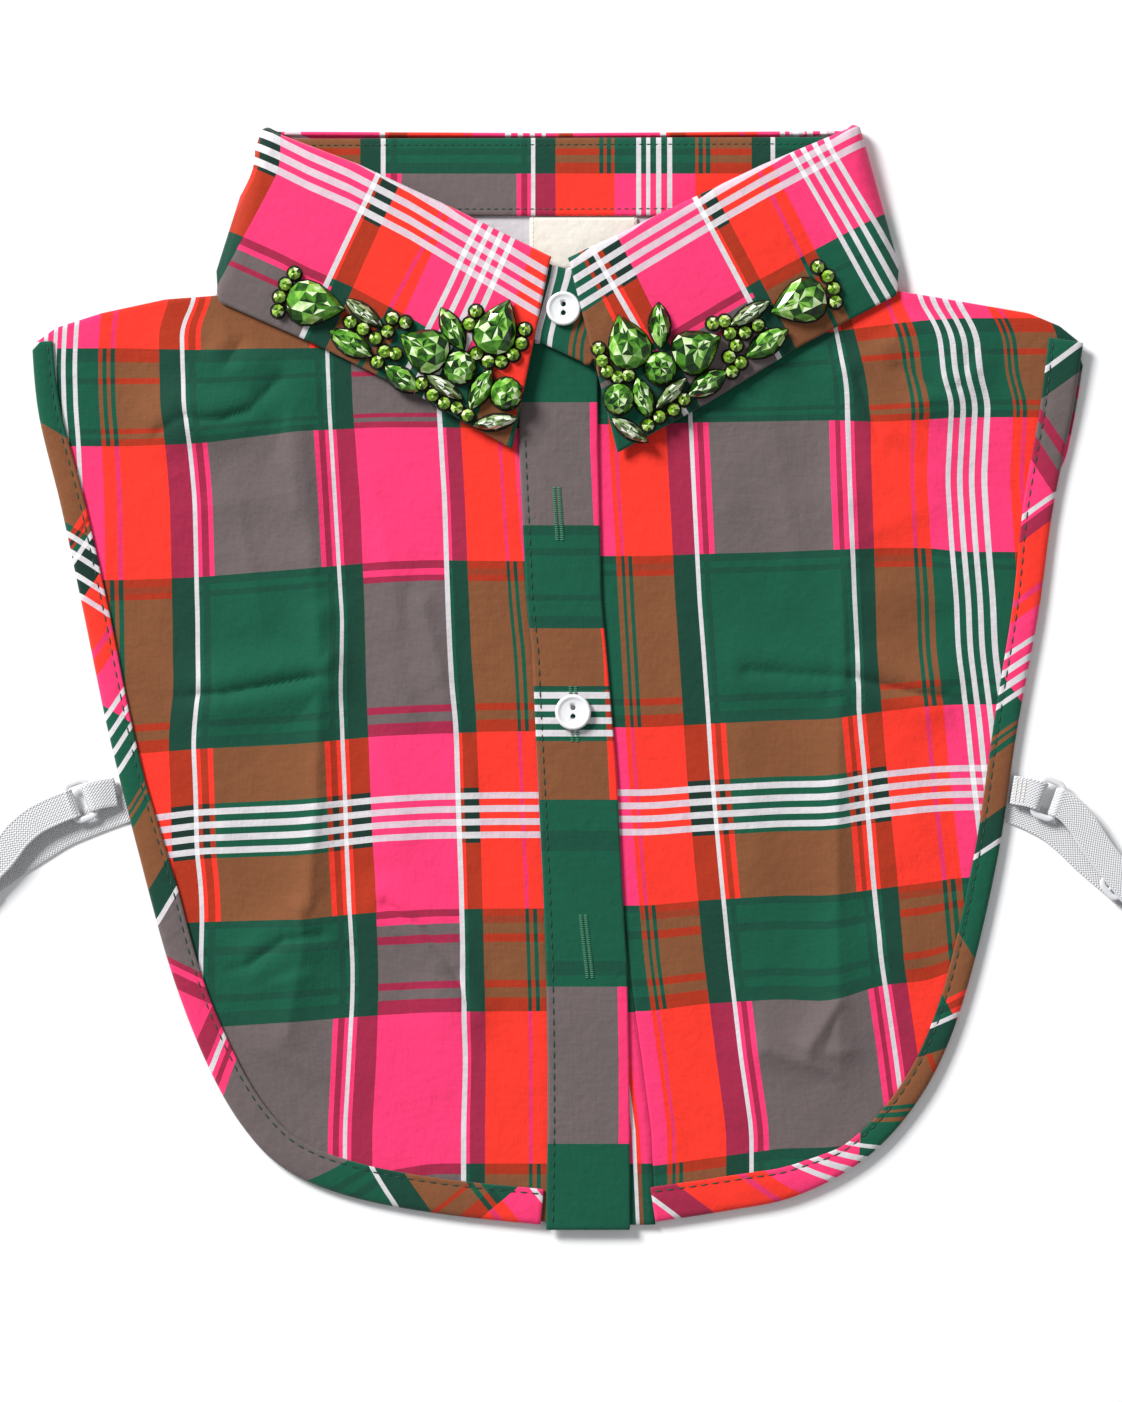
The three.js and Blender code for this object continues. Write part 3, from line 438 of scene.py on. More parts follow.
def bend(p0, p1, p2, p3, t, tension=0.5):
    """A smooth line from p1 to p2 that knows its neighbours: the points at t, and the directions there."""
    v0, v1 = tension * (p2 - p0), tension * (p3 - p1)
    cubic, square = 2 * p1 - 2 * p2 + v0 + v1, -3 * p1 + 3 * p2 - 2 * v0 - v1
    return cubic * t ** 3 + square * t ** 2 + v0 * t + p1, 3 * cubic * t ** 2 + 2 * square * t + v0


def spline_points(rows, steps=160):
    """A smooth line through the rows of a table."""
    rows = np.asarray(rows, float)
    last = len(rows) - 1
    t = np.linspace(0, 1, steps, endpoint=False)[:, None]
    out = [bend(rows[max(k - 1, 0)], rows[k], rows[k + 1], rows[min(k + 2, last)], t)[0] for k in range(last)]
    return np.concatenate(out + [rows[-1:]])


class Edge:
    """A smooth outer edge, measured by length, that can be followed at any distance inside it."""

    def __init__(self, rows, side):
        self.points = spline_points(rows)
        steps = np.linalg.norm(np.diff(self.points, axis=0), axis=1)
        self.lengths = np.concatenate([[0], np.cumsum(steps)])
        self.length = self.lengths[-1]
        tangent = np.gradient(self.points, axis=0)
        tangent /= np.linalg.norm(tangent, axis=1)[:, None]
        self.inward = np.stack([-tangent[:, 1], tangent[:, 0]], axis=1) * side

    def inset(self, share, distance):
        place = np.asarray(share, float) * self.length
        at = np.stack([np.interp(place, self.lengths, self.points[:, k]) for k in (0, 1)], axis=-1)
        inward = np.stack([np.interp(place, self.lengths, self.inward[:, k]) for k in (0, 1)], axis=-1)
        return at + inward * np.asarray(distance, float)[..., None]


def turned(along, over, place):
    """A point of a piece's own plan, turned and moved to its place: x, y and degrees."""
    x, y, degrees = place
    c, s = math.cos(math.radians(degrees)), math.sin(math.radians(degrees))
    return x + along * c - over * s, y + along * s + over * c


def rough(points, scale, seed):
    """Smooth random heights from -1 to 1 for an array of points."""
    flat = np.asarray(points, float).reshape(-1, points.shape[-1]) / scale
    values = [noise.noise(Vector((p[0], p[1], seed))) for p in flat]
    return np.asarray(values).reshape(points.shape[:-1])


print("curve tools ready")

# %% Cloth walls
TOPS = {}  # the upper face of each cloth piece, for the stitches that lie on it
RIM_ROUNDING = 0.3  # how far the rim stands out, as a share of the thickness


def shade_smooth(mesh, smooth=True):
    mesh.polygons.foreach_set("use_smooth", [smooth] * len(mesh.polygons))


def add_mesh(name, points, faces, materials, threads=None, smooth=True, face_slots=None):
    """A mesh object from points in millimetres."""
    mesh = bpy.data.meshes.new(name)
    mesh.from_pydata((np.asarray(points, float) * MM).tolist(), [], [tuple(f) for f in faces])
    for material in materials:
        mesh.materials.append(material)
    if threads is not None:
        layer = mesh.uv_layers.new(name="threads")
        index = np.empty(len(mesh.loops), int)
        mesh.loops.foreach_get("vertex_index", index)
        layer.data.foreach_set("uv", np.asarray(threads, float)[index].ravel())
    if face_slots is not None:
        mesh.polygons.foreach_set("material_index", face_slots)
    shade_smooth(mesh, smooth)
    mesh.update()
    return linked(name, mesh)


def cloth(name, middle, threads, thickness, materials, face_up=True, slot_of=None):
    """A closed cloth wall round a grid of points (rows, columns, 3), with a rounded rim."""
    middle, threads = np.asarray(middle, float), np.asarray(threads, float)
    normal = np.cross(np.gradient(middle, axis=1), np.gradient(middle, axis=0))
    if face_up and normal[..., 2].mean() < 0:
        middle, threads, normal = middle[:, ::-1], threads[:, ::-1], -normal[:, ::-1]
    normal /= np.linalg.norm(normal, axis=2)[..., None]
    rows, columns = middle.shape[:2]
    top, under = middle + normal * thickness / 2, middle - normal * thickness / 2
    TOPS[name] = top
    at = np.arange(rows * columns).reshape(rows, columns)
    count = rows * columns
    a, b, c, d = at[:-1, :-1], at[:-1, 1:], at[1:, 1:], at[1:, :-1]
    upper = np.stack([a, b, c, d], axis=-1).reshape(-1, 4)
    faces = [upper, upper[:, ::-1] + count]
    rim = np.concatenate([at[0, :-1], at[:-1, -1], at[-1, :0:-1], at[:0:-1, 0]])
    inner = np.clip(rim // columns, 1, rows - 2) * columns + np.clip(rim % columns, 1, columns - 2)
    flat = middle.reshape(-1, 3)
    outward = flat[rim] - flat[inner]
    outward /= np.linalg.norm(outward, axis=1)[:, None]
    edge_ring = flat[rim] + outward * thickness * RIM_ROUNDING
    ring = np.arange(len(rim)) + 2 * count
    nxt = np.roll(np.arange(len(rim)), -1)
    faces.append(np.stack([ring, ring[nxt], rim[nxt], rim], axis=1))
    faces.append(np.stack([rim + count, rim[nxt] + count, ring[nxt], ring], axis=1))
    points = np.concatenate([top.reshape(-1, 3), under.reshape(-1, 3), edge_ring])
    thread_rows = threads.reshape(-1, 2)
    thread_rows = np.concatenate([thread_rows, thread_rows, thread_rows[rim]])
    face_slots = None
    faces = np.concatenate(faces)
    if slot_of is not None:
        face_slots = slot_of(points[faces].mean(axis=1), len(upper))
    return add_mesh(name, points, faces, materials, thread_rows, True, face_slots)


def belongs(piece, slot, *nodes):
    """Tie a finished piece to the body and hide the solids that it stands for; the slot is not used."""
    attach(piece, "root")
    if nodes:
        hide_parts(*nodes)
    return piece


print("cloth tools ready")

# %% [markdown]
# ## The two fronts
# Each front is one flat piece of plaid cotton, bordered by the shoulder and neck seam, the curved
# side, the hem and the placket. A patch between four border curves gives its surface, as a pattern
# cutter would draw it. Creases from folding and washing lie on it, as crests and as valleys between two
# swells.

# %% Levels and outlines
PANEL, PLACKET, BINDING, STAND, LEAF = 1.2, 1.1, 0.9, 1.0, 1.2
GAP = 0.3
FRONT_LEVEL = PANEL + GAP
BAND_LEVEL = FRONT_LEVEL + PANEL + GAP
LIFT, LIFT_START, LIFT_END = LEAF + GAP, 66, 126
PANEL_INSET, HEM_CORNER, PANEL_TUCK = 1.6, 0.72, 5

LEFT_EDGE = Edge([
    (-176.3, 112), (-174, 88), (-166.5, 57), (-159.3, 23), (-151, -17), (-141, -57), (-130, -97),
    (-118, -128), (-106, -149), (-92, -163), (-71, -172), (-40, -178), (0.5, -182.3)], 1)
RIGHT_EDGE = Edge([
    (174, 112), (170.3, 88), (164, 57), (159.3, 23), (152, -17), (146, -57), (137, -97),
    (127, -126), (114, -147), (98, -162), (77, -172.5), (55, -177), (31.7, -180.6)], -1)
LEFT_TOP = [(-168, 117), (-153, 121.8), (-131.7, 126.4), (-113, 127.8), (-99, 152.6), (-60, 139), (-9.3, 119)]
RIGHT_TOP = [(166, 117.5), (155.7, 121.8), (124.3, 127.2), (112, 129.2), (99, 152.6), (60, 139), (8.4, 119)]
PLACKET_ROWS = np.array([  # y, left edge, right edge, right edge of the band beneath
    (118, -14.0, 12.0, 8.0), (77, -13.7, 12.0, 9.5), (27, -11.3, 13.2, 12.0), (10, -9.4, 14.8, 13.2),
    (-30, -7.6, 18.2, 16.2), (-67, -5.8, 20.0, 19.0), (-95, -4.7, 21.7, 22.4), (-127, -4.2, 22.4, 26.8),
    (-150, -4.2, 22.6, 29.8), (-182.8, -4.8, 22.7, 31.3)])


def placket_x(column, y):
    return np.interp(-np.asarray(y, float), -PLACKET_ROWS[:, 0], PLACKET_ROWS[:, column])


def lift(y):
    """How far everything rises where the back of the collar lies beneath."""
    return LIFT * smooth_step((np.asarray(y) - LIFT_START) / (LIFT_END - LIFT_START))


print("edge lengths:", round(LEFT_EDGE.length), round(RIGHT_EDGE.length), "mm")

# %% Creases
CREASES = [  # from x and y, to x and y, height, reach: pressed in when the piece was folded
    (-87, 83, -81, 22, 1.3, 7), (-81, 22, -80.5, -2, 2.2, 6), (-80.5, -2, -81.5, -40, 1.9, 6),
    (-81.5, -40, -84, -76, 2.0, 6), (-84, -76, -91, -118, 1.5, 7),
    (-145, -7, -112, -4.5, -2.2, 3), (-112, -4.5, -80, 1.5, -2.6, 3),
    (-136, 84, -104, 92, 1.7, 7), (-128, 56, -86, 63, 0.8, 9),
    (96, 60, 92, -35, 1.4, 7), (92, -35, 92, -80, 1.7, 6), (92, -80, 93, -150, 1.4, 7),
    (62, 3, 96, 1, -1.6, 3), (96, 1, 120, -5, -2.4, 3), (120, -5, 145, -7, -2.4, 3),
    (117, 90, 138, 103, 1.8, 6), (92.3, -107.3, 82.7, -122.3, 2.0, 5), (68, -123, 92, -131, 1.7, 5)]
SMALL_CREASES = [  # the lesser ones, laid at 0.8 of their height
    (-112, -97, -104, -95, -1.8, 2.5), (-104, -95, -92, -86.5, -2.2, 2.5),
    (-92, -86.5, -80, -85, -1.8, 2.5), (-87, -76, -86, -84, 2.0, 3.5),
    (-104, -103, -84, -98, 1.0, 4), (-80, 2, -76, 9, 1.8, 3.5), (-58.5, -74.5, -45, -84, -2.0, 2.5),
    (-45, -84, -37, -94, -2.0, 2.5), (-37, -94, -31, -108, -1.6, 3), (-46, 24, -40, 2, 1.6, 6),
    (-40, 2, -37, -14, 1.0, 6), (-62, 66, -54, 20, 0.9, 7), (-57, 2, -50, -10, 0.8, 6),
    (-27, 6, -22, -3, 1.5, 4.5), (-107, 103, -92, 112, 1.4, 5), (-108, 60, -100, 20, 0.8, 7),
    (-60, -22, -52, -52, 0.9, 7), (-120, -20, -112, -50, 0.9, 7), (-30, -28, -27, -58, 0.7, 6),
    (-104, -120, -80, -132, 0.8, 6), (34, 30, 40, -10, 0.8, 6), (70, 90, 78, 40, 0.9, 7),
    (112, 130, 121, 118, 1.5, 4), (119, 131, 128, 116, 1.2, 4), (103, 126, 108, 112, 1.0, 4),
    (60, -20, 66, -60, 0.8, 8), (112, -40, 134, -62, 0.9, 7), (104, -86, 122, -96, 0.9, 5),
    (44, -140, 64, -150, 0.7, 5), (110, 30, 140, 22, 0.8, 7), (-145, 62, -124, 70, 0.9, 6),
    (45, 70, 56, 58, 0.7, 6), (100, 48, 118, 56, 0.7, 6), (83, -125, 95, -124, 1.3, 4)]
SHOULDER_CREASES = [  # the bunched cloth beside the collar
    (-134, 83, -125.7, 87.5, -2.6, 3.2), (-125.7, 87.5, -114.3, 86.5, -3.2, 3.2),
    (-114.3, 86.5, -103.7, 90, -3.0, 3.5), (-103.7, 90, -93, 101, -2.4, 4.5),
    (-111, 106, -103, 117, -2.0, 4), (-91.5, 100, -88, 58, 1.8, 6), (-119, 112, -124, 122, -1.2, 4),
    (113, 104, 126, 96, -2.2, 4), (126, 96, 133, 98, -2.0, 3.5), (133, 98, 137, 110, -1.6, 4),
    (111, 128, 114, 121, -2.4, 3), (99, 100, 106, 80, -1.8, 4), (106, 80, 118, 72, -1.5, 5),
    (121, 128, 124, 116, 1.6, 5), (96, 92, 93, 60, 1.5, 6)]
SWELL = 3.2  # the cloth swells on both sides of a valley, this many times wider than the valley
SMALL_SHARE = 0.8
CHEST, BODY_DEPTH = 40, 1.5  # below the chest the creases are this many times deeper
UNEVENNESS = ((0.9, 46.0, 3.1), (0.6, 20.0, 5.3), (0.1, 8.0, 7.7))  # height, size and seed of random swells
HIGHEST, LOWEST = 4.2, -0.3


def crease_height(x, y, creases):
    """The creases over each point: a positive height is a crest, a negative one a valley between two swells."""
    crest, valley = np.zeros_like(x), np.zeros_like(x)
    for x1, y1, x2, y2, height, reach in creases:
        along = ((x - x1) * (x2 - x1) + (y - y1) * (y2 - y1)) / ((x2 - x1) ** 2 + (y2 - y1) ** 2)
        along = np.clip(along, 0, 1)
        distance = np.hypot(x - x1 - along * (x2 - x1), y - y1 - along * (y2 - y1)) / reach
        if height > 0:
            crest = np.maximum(crest, height * np.exp(-distance ** 1.2))
        else:
            crest = np.maximum(crest, -height * np.exp(-(distance / SWELL) ** 2))
            valley = np.maximum(valley, -height * np.exp(-distance ** 1.1))
    return crest - valley


def four_sided(top, bottom, left, right):
    """A flat patch between four border lines: top and bottom run left to right, the others down."""
    u = np.linspace(0, 1, len(top))[None, :, None]
    v = np.linspace(0, 1, len(left))[:, None, None]
    top, bottom, left, right = top[None], bottom[None], left[:, None], right[:, None]
    corners = ((1 - u) * (1 - v) * top[:, :1] + u * (1 - v) * top[:, -1:]
               + (1 - u) * v * bottom[:, :1] + u * v * bottom[:, -1:])
    return (1 - v) * top + v * bottom + (1 - u) * left + u * right - corners


LEAF_CORNER, LEAF_SLOPE = (114, 124), 0.48  # the leaf's lower edge, which keeps the creases under it flat


def front_surface(top_rows, edge, tuck, columns=150, rows=240):
    """One front: flat x and y from its borders, height from the layers and the creases."""
    u, v = np.linspace(0, 1, columns + 1), np.linspace(0, 1, rows + 1)
    side = edge.inset(v * HEM_CORNER, np.full_like(v, PANEL_INSET))
    hem = edge.inset(HEM_CORNER + u * (1 - HEM_CORNER), np.full_like(u, PANEL_INSET))
    top = along_path([side[0], *top_rows], u)
    y = top_rows[-1][1] + (hem[-1, 1] - top_rows[-1][1]) * v
    placket = np.stack([tuck(y), y], axis=1)
    bottom = hem.copy()
    bottom[:, 0] += u * (placket[-1, 0] - hem[-1, 0])
    flat = four_sided(top, bottom, side, placket)
    fade_u = smooth_step((np.minimum(u, 1 - u) - 0.12) / 0.12)[None, :]
    fade_v = (smooth_step((v - 0.01) / 0.05) * smooth_step((0.94 - v) / 0.12))[:, None]
    x, y = flat[..., 0], flat[..., 1]
    deeper = BODY_DEPTH - (BODY_DEPTH - 1) * smooth_step((y - CHEST) / 30)
    raised = deeper * (crease_height(x, y, CREASES) + SMALL_SHARE * crease_height(x, y, SMALL_CREASES))
    raised += crease_height(x, y, SHOULDER_CREASES)
    raised += sum(height * rough(flat, size, seed) for height, size, seed in UNEVENNESS)
    reach_x = np.abs(x)
    below_leaf = LEAF_CORNER[1] - (LEAF_CORNER[0] - reach_x) * LEAF_SLOPE - y + 2 * np.maximum(reach_x - 110, 0)
    raised *= smooth_step((below_leaf - 3) / 9)
    height = lift(y) + FRONT_LEVEL + PANEL / 2 + fade_u * fade_v * np.clip(raised, LOWEST, HIGHEST)
    return np.dstack([x, y, height])


print("creases:", len(CREASES) + len(SMALL_CREASES) + len(SHOULDER_CREASES))

# %% [markdown]
# ## Thread coordinates of the fronts
# The stripes of real cloth wander a little: pins, seams and creases pull them. Two short tables say
# where a few known stripes run, and every point between them is interpolated. The numbers are
# chart units, three to the millimetre, counted from the chart's upper left corner.

# %% Where the stripes run
CHART_CENTRE = (561.0, 680.0)
LEFT_WARP_LINES = (
    [304, 325, 364, 409, 440, 500, 600, 620, 650, 688, 713, 740, 795, 853, 883, 916, 968, 1000, 1060, 1130], {
        104: [103, 100.5, 98.5, 99.5, 102, 104.5, 106, 106.7, 106.7, 108, 105, 102.6, 104.8, 106, 109.7, 111.2,
              109.7, 110.5, 112.5, 114],
        195: [195, 182, 183, 184.6, 189.5, 195, 197, 197.7, 197.7, 199, 196, 193.6, 195.8, 197, 200.7, 202.2,
              200.7, 201.5, 203.5, 205],
        335: [327, 327, 328, 329.5, 331.5, 335, 341, 342.3, 341.5, 340.4, 341.5, 342.5, 345, 347, 348.5, 350, 353,
              352.5, 349, 345],
        360: [350, 350, 351, 352.5, 355, 360, 364, 364.5, 365, 366, 367, 368.5, 370.5, 373, 375.5, 376.5, 378, 378,
              376, 372],
        444: [436, 436, 437, 438.5, 440.5, 444, 447, 447.8, 449, 451, 454, 456, 457.5, 459.5, 460.6,
              461.3, 462, 463, 465, 463],
        465: [457, 457, 458, 459.5, 461.5, 465, 469, 470, 471, 474, 476, 477, 479, 481, 482, 483, 484,
              485, 486, 485],
        519: [510, 510, 511, 512.5, 515, 519, 527, 529, 533, 535, 536, 537, 539, 542, 544, 545, 547,
              548, 549, 549]})
LEFT_WEFT_LINES = ([130, 200, 300, 380, 430, 500], {
    345: [348, 350, 348, 346, 345, 345], 427: [446, 443, 431, 427, 427, 428],
    560: [580, 577, 569, 562, 560, 561], 733: [754, 748.5, 743.5, 736, 733.5, 731],
    798.5: [821, 812, 807.5, 799.5, 796.5, 795], 837.5: [860, 851, 847.5, 838, 835.5, 834.5],
    910: [925, 921.5, 919, 911, 909, 908], 1012: [1035, 1028, 1021, 1015, 1012, 1011],
    1163: [1190, 1186, 1178, 1172, 1163, 1163]})
RIGHT_WARP_LINES = ([296, 333, 380, 400, 421, 480, 540, 600, 650, 720, 770, 880, 960, 1060, 1130], {
    630: [620, 620, 621, 622, 623, 626, 630, 633, 636, 640, 643, 652, 659, 673, 682],
    696: [687, 687, 688, 689, 690, 693, 696, 699, 703, 708, 711, 721, 729, 741, 751],
    851.5: [828, 836.5, 845.5, 847, 847.4, 849, 851.5, 854, 857, 859, 864, 873, 881, 896, 905],
    873: [845, 854, 866, 869, 869.5, 871, 873, 875, 876, 882, 886, 897, 903, 918, 927],
    950.5: [917, 939, 943, 951, 950, 947, 951, 956, 958, 967, 972, 985, 993, 1006, 1015]})
RIGHT_WEFT_LINES = ([650, 700, 780, 830, 880, 930, 960], {
    345: [345, 343, 338, 332, 325, 320, 318], 427: [424, 422, 421, 420, 422, 419, 417],
    560: [556, 554, 552, 550, 548, 548, 552], 733: [727, 724, 720, 719, 711, 706, 704],
    798.5: [792.5, 788.5, 784.5, 783.5, 774.5, 769.5, 768], 837.5: [832, 828, 823.5, 822.5, 814, 808.5, 807],
    910: [905, 900, 895, 895, 888, 882, 877], 1012: [1011, 1004, 999, 1001, 985, 980, 967],
    1163: [1166, 1159, 1148, 1147, 1140, 1130, 1120]})


def chart_place(x, y):
    """A point of the cloth on the chart."""
    return CHART_CENTRE[0] + CHART * x, CHART_CENTRE[1] - CHART * y


SOFTENING = (-12, -6, 0, 6, 12)  # chart units over which a line's bends are rounded


def between_lines(value, other, table):
    """The thread coordinate of a point, from where the known stripes run at its other coordinate."""
    knots, lines = table
    known = list(lines)
    places = [sum(np.interp(other + shift, knots, lines[k]) for shift in SOFTENING) / len(SOFTENING) for k in known]
    out = known[0] + value - places[0]
    for k in range(len(known) - 1):
        share = (value - places[k]) / (places[k + 1] - places[k])
        out = np.where(value >= places[k], known[k] + share * (known[k + 1] - known[k]), out)
    return np.where(value >= places[-1], known[-1] + value - places[-1], out)


def panel_threads(surface, warp_lines, weft_lines):
    across, down = chart_place(surface[..., 0], surface[..., 1])
    return np.dstack([between_lines(across, down, warp_lines),
                      between_lines(down, across, weft_lines)]) * PANEL_UNIT


print("charted stripes:", len(LEFT_WARP_LINES[1]) + len(RIGHT_WARP_LINES[1]))

# %% Make the fronts
CLOTH_WALL = 1.0
left_surface = front_surface(LEFT_TOP, LEFT_EDGE, lambda y: placket_x(1, y) + PANEL_TUCK)
right_surface = front_surface(RIGHT_TOP, RIGHT_EDGE, lambda y: placket_x(3, y) + GAP + 0.1)
left_threads = panel_threads(left_surface, LEFT_WARP_LINES, LEFT_WEFT_LINES)
right_threads = panel_threads(right_surface, RIGHT_WARP_LINES, RIGHT_WEFT_LINES)
front_left = belongs(cloth("cloth_front_left", left_surface, left_threads, CLOTH_WALL, [PLAID_LEFT]),
                     "plaid_pink", "front_panel_left")
front_right = belongs(cloth("cloth_front_right", right_surface, right_threads, CLOTH_WALL, [PLAID_RIGHT]),
                      "plaid_orange", "front_panel_right")


def flat_area(surface):
    """The area of a surface in square metres."""
    a = np.cross(surface[1:, :-1] - surface[:-1, :-1], surface[:-1, 1:] - surface[:-1, :-1])
    b = np.cross(surface[1:, :-1] - surface[1:, 1:], surface[:-1, 1:] - surface[1:, 1:])
    return (np.linalg.norm(a, axis=2).sum() + np.linalg.norm(b, axis=2).sum()) / 2 * MM * MM


print("front areas:", round(flat_area(left_surface), 4), round(flat_area(right_surface), 4), "square metres")

# %% [markdown]
# ## The back panel and its lining face
# The back lies underneath. Only its inner face shows, in the neck opening, as a pale grey cotton
# lining behind the label. It follows the same edges, set in by its own binding.

# %% Plain cottons
def plain_cotton(name, colour, yarns, bump):
    """A cotton of one colour with the same weave, of more even yarn."""
    material, tree, shader, _, weave = bare_cotton(name, yarns, slub=0.12)
    dress(tree, shader, colour, weave, bump)
    return material


LINING = plain_cotton("lining_cotton", screen(206, 202, 206), 2600.0, 0.25)
LABEL_TAPE = plain_cotton("label_tape", screen(238, 231, 219), 3200.0, 0.4)
BACK_INSET, BACK_BINDING_WIDTH = 4, 8
BACK_TOP = [(-152, 119.5), (-131.7, 125.8), (-114, 127.6), (-99, 152), (-50, 157.5),
            (50, 157.5), (99, 152), (112, 128.6), (124.3, 126.6), (152, 119.5)]


def back_surface(columns=70, rows=80):
    u, v = np.linspace(0, 1, columns + 1), np.linspace(0, 1, rows + 1)
    inset = BACK_INSET + BACK_BINDING_WIDTH + GAP
    left = LEFT_EDGE.inset(v * HEM_CORNER, np.full_like(v, inset))
    right = RIGHT_EDGE.inset(v * HEM_CORNER, np.full_like(v, inset))
    steps = np.array([0, 0.3, 0.6, 0.9])
    hem = np.concatenate([
        LEFT_EDGE.inset(HEM_CORNER + steps * (1 - HEM_CORNER), np.full(4, inset)),
        RIGHT_EDGE.inset(HEM_CORNER + steps[::-1] * (1 - HEM_CORNER), np.full(4, inset))])
    flat = four_sided(along_path([left[0], *BACK_TOP, right[0]], u), along_path(hem, u), left, right)
    return np.dstack([flat, lift(flat[..., 1]) + PANEL / 2])


back_grid = back_surface()
back_threads = np.dstack(chart_place(back_grid[..., 0], back_grid[..., 1])) * PANEL_UNIT
LINING_FACE, PLAID_FACE = 0, 1
back_panel = cloth("cloth_back", back_grid, back_threads, PANEL * 0.95, [LINING, PLAID_LEFT],
                   slot_of=lambda centres, upper: [
                       LINING_FACE if k < upper else PLAID_FACE for k in range(len(centres))])
belongs(back_panel, "plaid_pink", "back_panel")
print("back area:", round(flat_area(back_grid), 4), "square metres")

# %% [markdown]
# ## Bias binding
# The fronts are edged with a strip of the same plaid cut on the bias, at 45 degrees, folded over the
# edge and stitched down. Its thread coordinates are length plus distance from the edge, and length
# minus that distance: those two families of lines cross the strip as the yarns do.

# %% Stripes of the bias strips
BIAS_UNIT = MM
LEFT_BIAS_WARPS = stripes(-20.0,
    "G 0 X 2.7 G 65.5 T 68 D 70 T 71 G 73.5 X 75.7 D 87.7 O 105.3 b 108 O 113.5 P 126.6 X 128.8 P 132.6 "
    "X 134.8 P 138.6 X 140.8 P 145.2 X 147.4 P 158.7 O 160 a 161.3 O 162.7 b 165.7 O 186.7 D 196.7 X 199 "
    "K 239.3 D 247.3 T 249.3 X 251.7 T 254 D 256.5 T 260 G 330.3 X 332.7 D 343.3 O 365 b 367.7 O 370 a 373.3 "
    "P 386.9 X 389.1 P 420")
LEFT_BIAS_WEFTS = stripes(-20.0,
    "B 25.7 C 60 W 62.8 X 65.2 W 69.1 X 71.5 W 76.8 X 79.2 W 84.1 X 86.5 W 88 C 122 B 208.3 D 211 A 214 "
    "D 220 A 299.3 B 306.7 D 310 B 314 D 317.7 B 342.3 D 344.3 B 351.7 D 359 A 420")
RIGHT_BIAS_WARPS = stripes(-30.0,
    "G -2.3 X 0 D 9 K 49.3 X 51.7 T 53.3 D 59.3 O 79.3 b 82 O 87.3 P 97.7 X 100 P 103.7 X 106.3 P 109.3 "
    "X 112.1 P 115 X 117.3 P 126.3 O 128 a 129.3 O 131 b 133.5 O 155.3 D 166 X 168 G 218 T 220 D 223.3 "
    "T 225.7 X 227.7 D 238.7 O 259.7 a 261.7 O 263 b 265.3 O 267.3 P 278.3 X 280.3 P 284 X 286.7 P 290 "
    "X 293 P 296.7 X 299.3 P 309.3 O 316 b 318.7 O 339.3 D 350.3 X 352.3 T 400")
RIGHT_BIAS_WEFTS = stripes(-20.0, "B 34.3 D 38.7 B 44 D 51.7 A 121.7 B 208 C 230 B 246.7 D 249.7 B 289 A 400")
PLAID_BIAS_LEFT = plaid("plaid_left_binding", LEFT_BIAS_WARPS, LEFT_BIAS_WEFTS, BIAS_UNIT)
PLAID_BIAS_RIGHT = plaid("plaid_right_binding", RIGHT_BIAS_WARPS, RIGHT_BIAS_WEFTS, BIAS_UNIT)
print("bias stripes:", len(LEFT_BIAS_WARPS[1]), len(RIGHT_BIAS_WARPS[1]))

# %% Make the bindings
BINDING_WIDTHS = {  # length from the shoulder, width of the strip
    "left": ([0, 40, 97, 150, 190, 225, 275, 310, 387], [6.9, 7.9, 8.5, 8.1, 9.7, 9.2, 10.3, 11.5, 12]),
    "right": ([0, 90, 135, 180, 225, 290, 303, 323, 359], [11.7, 8.9, 7.9, 7.9, 7.5, 7.9, 9.7, 11.3, 11.7])}
STITCH_INSET = 1.5  # of the seam, from the binding's inner edge
FOLD_SECTION = [  # distance in from the inner edge or out from the outline, and height over the middle
    ("inner", 0.0, -0.12), ("inner", 0.5, -0.02), ("inner", 1.0, -0.03), ("inner", STITCH_INSET, -0.14),
    ("inner", 2.1, 0.0), ("share", 0.62, 0.13), ("share", 0.42, 0.15), ("outer", 2.4, 0.08),
    ("outer", 1.5, -0.06), ("outer", 0.95, -0.32), ("outer", 0.6, -0.75), ("outer", 0.5, -1.25),
    ("outer", 0.62, -1.7)]


def binding_surface(edge, widths, stop, steps=300):
    """The folded strip, and its distance along and in from the outline."""
    length = np.linspace(0, edge.length - stop, steps + 1)
    width = np.interp(length, *widths)
    grid, lengths, insets = [], [], []
    outline = edge.inset(length / edge.length, np.zeros_like(length))
    for kind, amount, height in FOLD_SECTION:
        inset = {"inner": width - amount, "share": width * amount, "outer": np.full_like(width, amount)}[kind]
        flat = edge.inset(length / edge.length, inset)
        pucker = 0.09 * rough(np.stack([length, inset * 2], axis=1), 4.2, 1.3) if kind != "outer" else 0
        z = lift(outline[:, 1]) + BAND_LEVEL + BINDING / 2 + height + pucker
        grid.append(np.column_stack([flat, z]))
        lengths.append(length)
        insets.append(inset)
    return np.stack(grid, axis=1), np.stack(lengths, axis=1), np.stack(insets, axis=1)


def bind(side, edge, stop, material, slot):
    grid, length, inset = binding_surface(edge, BINDING_WIDTHS[side], stop)
    plus, minus = length + inset, length - inset
    threads = np.dstack([plus, minus] if side == "left" else [minus, plus]) * BIAS_UNIT
    strip = cloth(f"binding_{side}_strip", grid, threads, 0.75, [material])
    return belongs(strip, slot, f"binding_{side}"), flat_area(grid)


binding_left, left_binding_area = bind("left", LEFT_EDGE, 7.6, PLAID_BIAS_LEFT, "plaid_green")
binding_right, right_binding_area = bind("right", RIGHT_EDGE, 0.0, PLAID_BIAS_RIGHT, "plaid_brown")
print("binding areas:", round(left_binding_area, 5), round(right_binding_area, 5))

